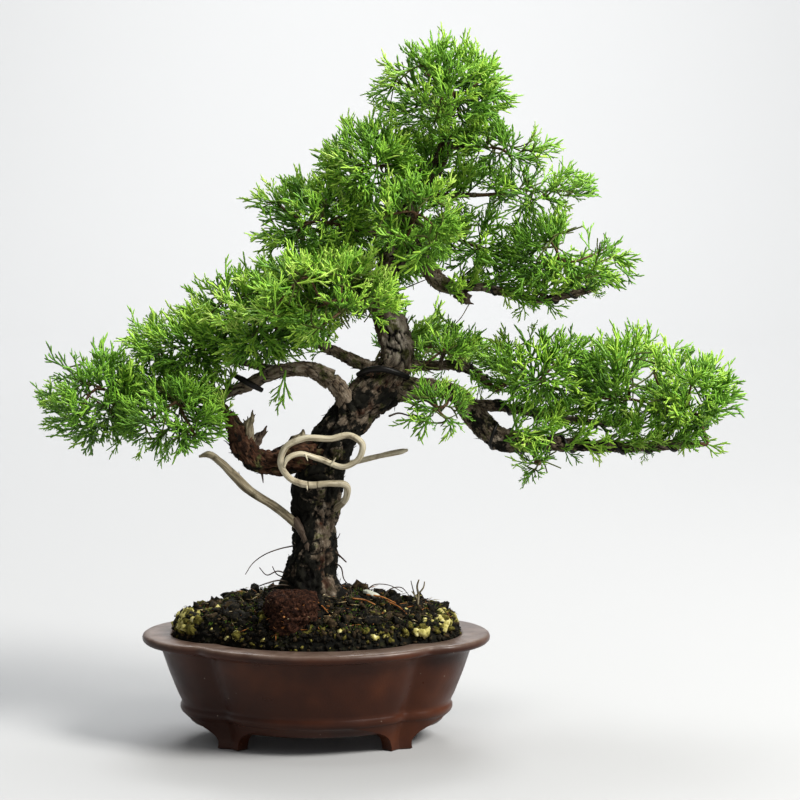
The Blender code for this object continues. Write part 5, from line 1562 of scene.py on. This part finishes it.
def scale_green(name, colour):
    """A plain green with the fine bumps of scale leaves."""
    material, nodes, principled = finish(name, colour, GREEN_ROUGHNESS, GREEN_SHINE)
    bump(nodes, principled, [(grain(nodes, 0.7, 2.0), 0.12)])
    return material


# From painted shade to painted light: deal_green picks among these five by where a spray sits
GREENS = [scale_green("green_" + name, colour) for name, colour in (
    ("shade", (0.062, 0.165, 0.011)), ("deep", (0.125, 0.295, 0.020)),
    ("fresh", (0.215, 0.430, 0.036)), ("bright", (0.325, 0.545, 0.052)),
    ("tip", (0.445, 0.635, 0.110)))]
twig_bark = crumbly("twig_bark", [
    (0.3, (0.024, 0.013, 0.006)), (0.5, (0.075, 0.042, 0.020)), (0.75, (0.15, 0.10, 0.055))],
    1.2, 0.8, 0.08)
twig_green = crumbly("twig_green", [
    (0.3, (0.030, 0.035, 0.008)), (0.5, (0.060, 0.075, 0.015)), (0.75, (0.10, 0.12, 0.03))],
    1.2, 0.7, 0.06)

# %% [markdown]
# ## Growing the pads
#
# Twigs are thin swept curves. Each leaves its node along the parent's direction and swings towards
# its tip, which is how a real shoot reaches for light. A twig that would touch a limb or leave the
# pad's space is skipped, and so is such a spray. Nine in ten sprays are also left out of the few
# clearings, where the viewer looks through between the pads.

# %% Growth rule
# One fine twig, and one coarse one, for so much of a pad's area in square mm
FINE_AREA, COARSE_AREA = 50.0, 500.0
# How far out twigs and sprays may reach in a pad, and how many sprays may stray further
TWIG_EDGE, PAD_EDGE = 1.02, 1.05
STRAY_SHARE, STRAY_EDGE = 0.14, 1.20
LOBES, LOBE_DEPTH = 2.4, 0.36
LIMB_ROOM = 0.6
# Pads that let more sky through than the others: their share of the twigs
OPEN_PADS = {
    "right_mid_outer": 0.62, "right_mid_inner": 0.42, "right_upper": 0.72,
    "right_high": 0.70, "right_low_inner": 0.50, "right_low_front": 0.75,
    "right_low_middle": 0.55, "right_low_outer": 0.58, "right_low_tip": 0.62,
    "apex": 0.76, "far_left_outer": 0.88, "far_left_inner": 0.90,
}
# Painted light and shade: how much paler or darker than the rest a pad is painted
PAD_PAINTED_LIGHT = {
    "far_left_outer": -0.55, "far_left_inner": -0.45, "shelf_front": 0.40,
    "shelf_outer": 0.15, "front_centre": 0.20, "left_mid": 0.10,
}
# Gaps between the masses that the viewer sees through: from X to X, and from Z to Z as it looks
# from the front at the height of the camera
CLEARINGS = [(10, 36, 211, 236), (36, 52, 208, 237), (50, 68, 232, 243),
             (-162, -131, 203, 232), (-131, -122, 214, 232), (56, 90, 202, 211),
             (88, 165, 228, 243), (140, 152, 287, 297),
             (152, 163, 280, 300), (163, 195, 270, 305)]
VIEW_SLOPE = math.tan(VIEW_PITCH)
CLEARED = 0.9
# Where on a twig sprays sit, and how much smaller a spray is made if it doesn't fit
SPRAY_SHARES = (1.0, 0.74, 0.50)
SMALLER = (1.0, 0.78, 0.58)


def spread_tips(count, own, depths, rng, flat_below):
    """Twig tips spread by the golden angle through a shell of a pad's space."""
    centre, radii = own
    first = rng.uniform(0, math.tau)
    tips = []
    for k in range(count):
        height = 1 - 2 * (k + 0.5) / count
        turn = first + k * GOLDEN_ANGLE
        flat = math.sqrt(1 - height * height)
        depth = depths[0] + (depths[1] - depths[0]) * ((k * 0.618) % 1)
        if height < 0:
            height *= flat_below
        out = np.array((flat * math.cos(turn), flat * math.sin(turn), height)) * depth
        tips.append(centre + out * radii)
    return tips


def twig_route(start, ahead, end, thick, thin, stations=5):
    """A twig from a node to its tip that sets out along its parent's direction."""
    reach = np.linalg.norm(end - start)
    bend = start + ahead * reach * 0.35
    t = np.linspace(0.0, 1.0, stations)[:, None]
    spots = start * (1 - t) ** 2 + bend * 2 * t * (1 - t) + end * t * t
    return np.column_stack([spots, np.linspace(thick, thin, stations)])


def free(points, own, edge):
    """Tells whether points stay off the limbs and in the pad's space, whose edge has lobes."""
    centre, radii = own
    out = (points[-1] - centre) / radii
    out /= np.linalg.norm(out) + 1e-9
    lobe = noise.noise(Vector(out) * LOBES + Vector(centre) * 0.37)
    inside = shell(points, *own).max() < edge + min(0.0, lobe) * LOBE_DEPTH
    return inside and clear_of_limbs(points, LIMB_ROOM)


def grow_pad(index, carrier, own, twigs):
    """Grows one pad's twigs and returns their routes, with the direction of each step."""
    rng = random.Random(300 + index)
    centre, radii = own
    tip = routes[carrier][-1]
    ahead = unit(tip[:3] - routes[carrier][-4][:3])
    elbow = tip[:3] + ahead * 3.8
    end = elbow + (centre - elbow) * 0.62
    stem = np.column_stack([[tip[:3] - ahead, elbow, (elbow + end) / 2, end],
                            [tip[3], tip[3] * 0.85, tip[3] * 0.7, max(0.6, tip[3] * 0.5)]])
    twigs.add(*sweep(smooth(stem, 2.0), 6)[:2], 0)
    nodes = [(spot, ahead) for spot in (elbow, (elbow + end) / 2, end)]
    x, y, z = radii
    area = (x * y + y * z + x * z) * OPEN_PADS.get(MASSES[index][0], 1.0)
    carriers = []
    for count, depths, thick, thin, kind in (
            (round(area / COARSE_AREA), (0.45, 0.72), 0.95, 0.62, 0),
            (round(area / FINE_AREA), (0.42, 0.93), 0.62, 0.38, 1)):
        tips = spread_tips(count, own, depths, rng, 0.85)
        for target in sorted(tips, key=lambda spot: np.linalg.norm(spot - end)):
            spots = np.array([node for node, _ in nodes])
            order = np.argsort(np.linalg.norm(spots - target, axis=1))
            for choice in order[:3]:
                start, heading = nodes[choice]
                if np.linalg.norm(target - start) < 3.0:
                    continue
                route = twig_route(start, heading, target, thick, thin)
                if not free(route[:, :3], own, TWIG_EDGE):
                    continue
                twigs.add(*sweep(route, 4)[:2], kind)
                steps = unit_rows(np.diff(route[:, :3], axis=0))
                nodes.append((route[2, :3], steps[2]))
                if kind == 0:
                    nodes.append((route[4, :3], steps[3]))
                carriers.append((route, steps))
                break
    return carriers


def in_clearing(spot):
    """Tells whether a place lies in one of the gaps that the viewer sees through."""
    z = spot[2] + spot[1] * VIEW_SLOPE
    return any(x0 < spot[0] < x1 and z0 < z < z1 for x0, x1, z0, z1 in CLEARINGS)


def deal_green(height, depth, painted_pad_light, rng):
    """Picks body and end colours as painted light and shade: paler the further out and the higher a
    spray sits.
    """
    light = 1.2 * (depth - 0.55) / 0.45 + 0.8 * height + rng.gauss(0, 0.55) + 0.75 + painted_pad_light
    body = int(min(3, max(0, round(light))))
    return body, min(4, body + (1 if rng.random() < 0.7 else 2))


def set_spray(bag, root, heading, size, greens, rng):
    """Sets one spray on a root: turned about its heading with its upper side up."""
    side = unit(np.cross(heading, wobble(rng, 1)))
    up = np.cross(heading, side)
    if up[2] < 0:
        side, up = -side, -up
    shape, faces, marks = sprays[rng.randrange(SPRAY_KINDS)]
    bag.add(shape * size @ np.stack([heading, side, up], axis=0) + root, faces,
            np.where(marks == 1, greens[1], greens[0]))


def dress_pad(index, own, carriers, bag):
    """Puts sprays on a pad's twigs."""
    rng = random.Random(700 + index)
    painted_pad_light = PAD_PAINTED_LIGHT.get(MASSES[index][0], 0.0)
    centre, radii = own
    placed = 0
    for route, steps in carriers:
        for share in SPRAY_SHARES:
            k = share * (len(route) - 1)
            low = min(int(k), len(route) - 2)
            root = route[low, :3] + (route[low + 1, :3] - route[low, :3]) * (k - low)
            away = (root - centre) / radii
            depth = np.linalg.norm(away)
            out = away / radii
            out /= np.linalg.norm(out) + 1e-9
            jitter = wobble(rng, 0.26 if share == 1.0 else 0.50)
            heading = unit(steps[low] * 0.8 + out * 0.8 + UP * 0.40 + jitter)
            size = rng.uniform(0.72, 1.08) * min(1.0, 0.62 + radii.min() / 60)
            edge = STRAY_EDGE if rng.random() < STRAY_SHARE else PAD_EDGE
            fits = False
            for smaller in SMALLER:
                tip = root + heading * SPRAY_LENGTH * size * smaller
                fits = free(np.array([(root + tip) / 2, tip]), own, edge + (1 - smaller) * 0.05)
                if fits:
                    break
            if not fits or (in_clearing(root) or in_clearing(tip)) and rng.random() < CLEARED:
                continue
            greens = deal_green(away[2], depth, painted_pad_light, rng)
            set_spray(bag, root, heading, size * smaller, greens, rng)
            placed += 1
    return placed


# Limbs that carry short shoots of their own: limb, share where they start and end, number
SPRIGS = [
    ("right_low_bough", 0.40, 0.99, 34),
    ("right_low_parallel", 0.30, 1.0, 17),
    ("right_mid_bough", 0.30, 1.0, 28),
    ("right_upper_bough", 0.25, 0.95, 10),
    ("right_high_bough", 0.3, 0.9, 5),
    ("left_upper_bough", 0.62, 1.0, 15),
    ("left_low_bough", 0.86, 1.0, 7),
    ("pale_upper_limb", 0.45, 0.95, 5),
    ("trunk", 0.76, 0.99, 26),
    ("left_centre_bough", 0.72, 1.0, 5),
    ("right_mid_inner_bough", 0.3, 1.0, 6),
    ("back_low_bough", 0.45, 1.0, 12),
    ("back_mid_bough", 0.4, 1.0, 9),
]


def dress_limb(limb, first, last, count, bag, twigs):
    """Short side twigs with sprays along a limb, more of them above it than below."""
    rng = random.Random(len(limb) * 31 + count)
    route = routes[limb]
    for index in range(count):
        k = (first + (last - first) * (index + rng.random()) / count) * (len(route) - 2)
        low = int(k)
        spot, radius = route[low, :3], route[low, 3]
        along = unit(route[low + 1, :3] - route[low, :3])
        out = np.array([rng.gauss(0, 1), rng.gauss(-0.35, 1.1), rng.gauss(0.65, 0.7)])
        out = unit(out - along * out.dot(along))
        length = (2.0 + 8.0 * rng.random() ** 1.5) * (0.5 if out[2] < 0 else 1.0)
        start = spot + out * radius * 0.7
        end = start + (out + along * rng.uniform(-0.2, 1.4)) * length + UP * 0.1 * length
        side = twig_route(start, out, end, 0.65, 0.45, 4)
        twigs.add(*sweep(side, 4)[:2], 1)
        for share in (1.0, 0.6, 0.2) if length > 5 else (1.0, 0.3):
            heading = unit(unit(end - start) + wobble(rng, 0.45) + along * 0.3)
            body = pick(rng, 2, 4, 3, 1)
            size = rng.uniform(0.45, 0.88) * (0.7 if out[2] < 0 else 1.0)
            set_spray(bag, start + (end - start) * share, heading, size, (body, body + 1), rng)


# Shoots that hang below the masses: where, which way, how large and which green
HANGING = [
    ((-15.5, -20, 207.5), (-0.10, 0, -1), 0.85, 1), ((-17.5, -20, 201), (-0.35, -0.2, -1), 0.5, 2),
    ((20.5, -5, 203.5), (-0.1, 0, -1), 0.40, 1), ((-91, -30, 171), (-0.3, -0.1, -1), 0.55, 2),
    ((-83.5, -30, 171.5), (0.1, -0.2, -1), 0.55, 1), ((-104, -20, 172), (-0.4, 0, -0.8), 0.5, 1),
    ((64, -28, 186), (-0.5, 0, -0.8), 0.80, 1), ((59, -26, 184), (-0.8, -0.1, -0.4), 0.65, 1),
    ((75, -26, 182), (-0.2, 0, -1), 0.60, 2),
]

# %% Pads
GROUPS = {
    "top": ("apex", "right_high", "right_upper", "left_high", "back_high"),
    "left": ("left_mid", "shelf_front", "shelf_outer"),
    "centre": ("front_centre", "right_mid_outer", "right_mid_inner", "shelf_back"),
    "far_left": ("left_tier", "far_left_outer", "far_left_inner"),
    "right": ("right_low_inner", "right_low_front", "right_low_middle", "right_low_outer",
              "right_low_tip", "hanging_tuft"),
    "back": ("back_low", "back_mid"),
}
twigs = Bag()
by_name = {name: (index, carrier, (np.array(centre, dtype=float), np.array(radii, dtype=float)))
           for index, (name, carrier, centre, radii) in enumerate(MASSES)}
for group, members in GROUPS.items():
    bag = Bag()
    for member in members:
        index, carrier, own = by_name[member]
        carriers = grow_pad(index, carrier, own, twigs)
        placed = dress_pad(index, own, carriers, bag)
        print(member, "twigs", len(carriers), "sprays", placed)
    piece = bag.piece("sprays_" + group, GREENS)
    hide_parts(*("foliage_" + member for member in members))
bag = Bag()
for limb, first, last, count in SPRIGS:
    dress_limb(limb, first, last, count, bag, twigs)
rng = random.Random(77)
for root, way, size, body in HANGING:
    set_spray(bag, np.array(root, dtype=float), unit(np.array(way)), size, (body, body + 1), rng)
sprays_on_limbs = bag.piece("sprays_on_limbs", GREENS)
fine_twigs = twigs.piece("fine_twigs", [twig_bark, twig_green])

# %% [markdown]
# ## Sizes
#
# The dressed model must stay in the solids' box, apart from a little that the sprays may stand
# proud. Both boxes are set down side by side and printed, with how far the dressed model reaches
# beyond the solids' box.

# %% Sizes and finish
low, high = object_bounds()
{"cad": [list(cad_low), list(cad_high)], "visual": [list(low), list(high)]}
print("visual box in mm:", [round((b - a) / MM, 1) for a, b in zip(low, high)])
print("beyond the CAD box in mm:", [round((a - b) / MM, 1) for a, b in zip(cad_low, low)],
      [round((b - a) / MM, 1) for a, b in zip(cad_high, high)])
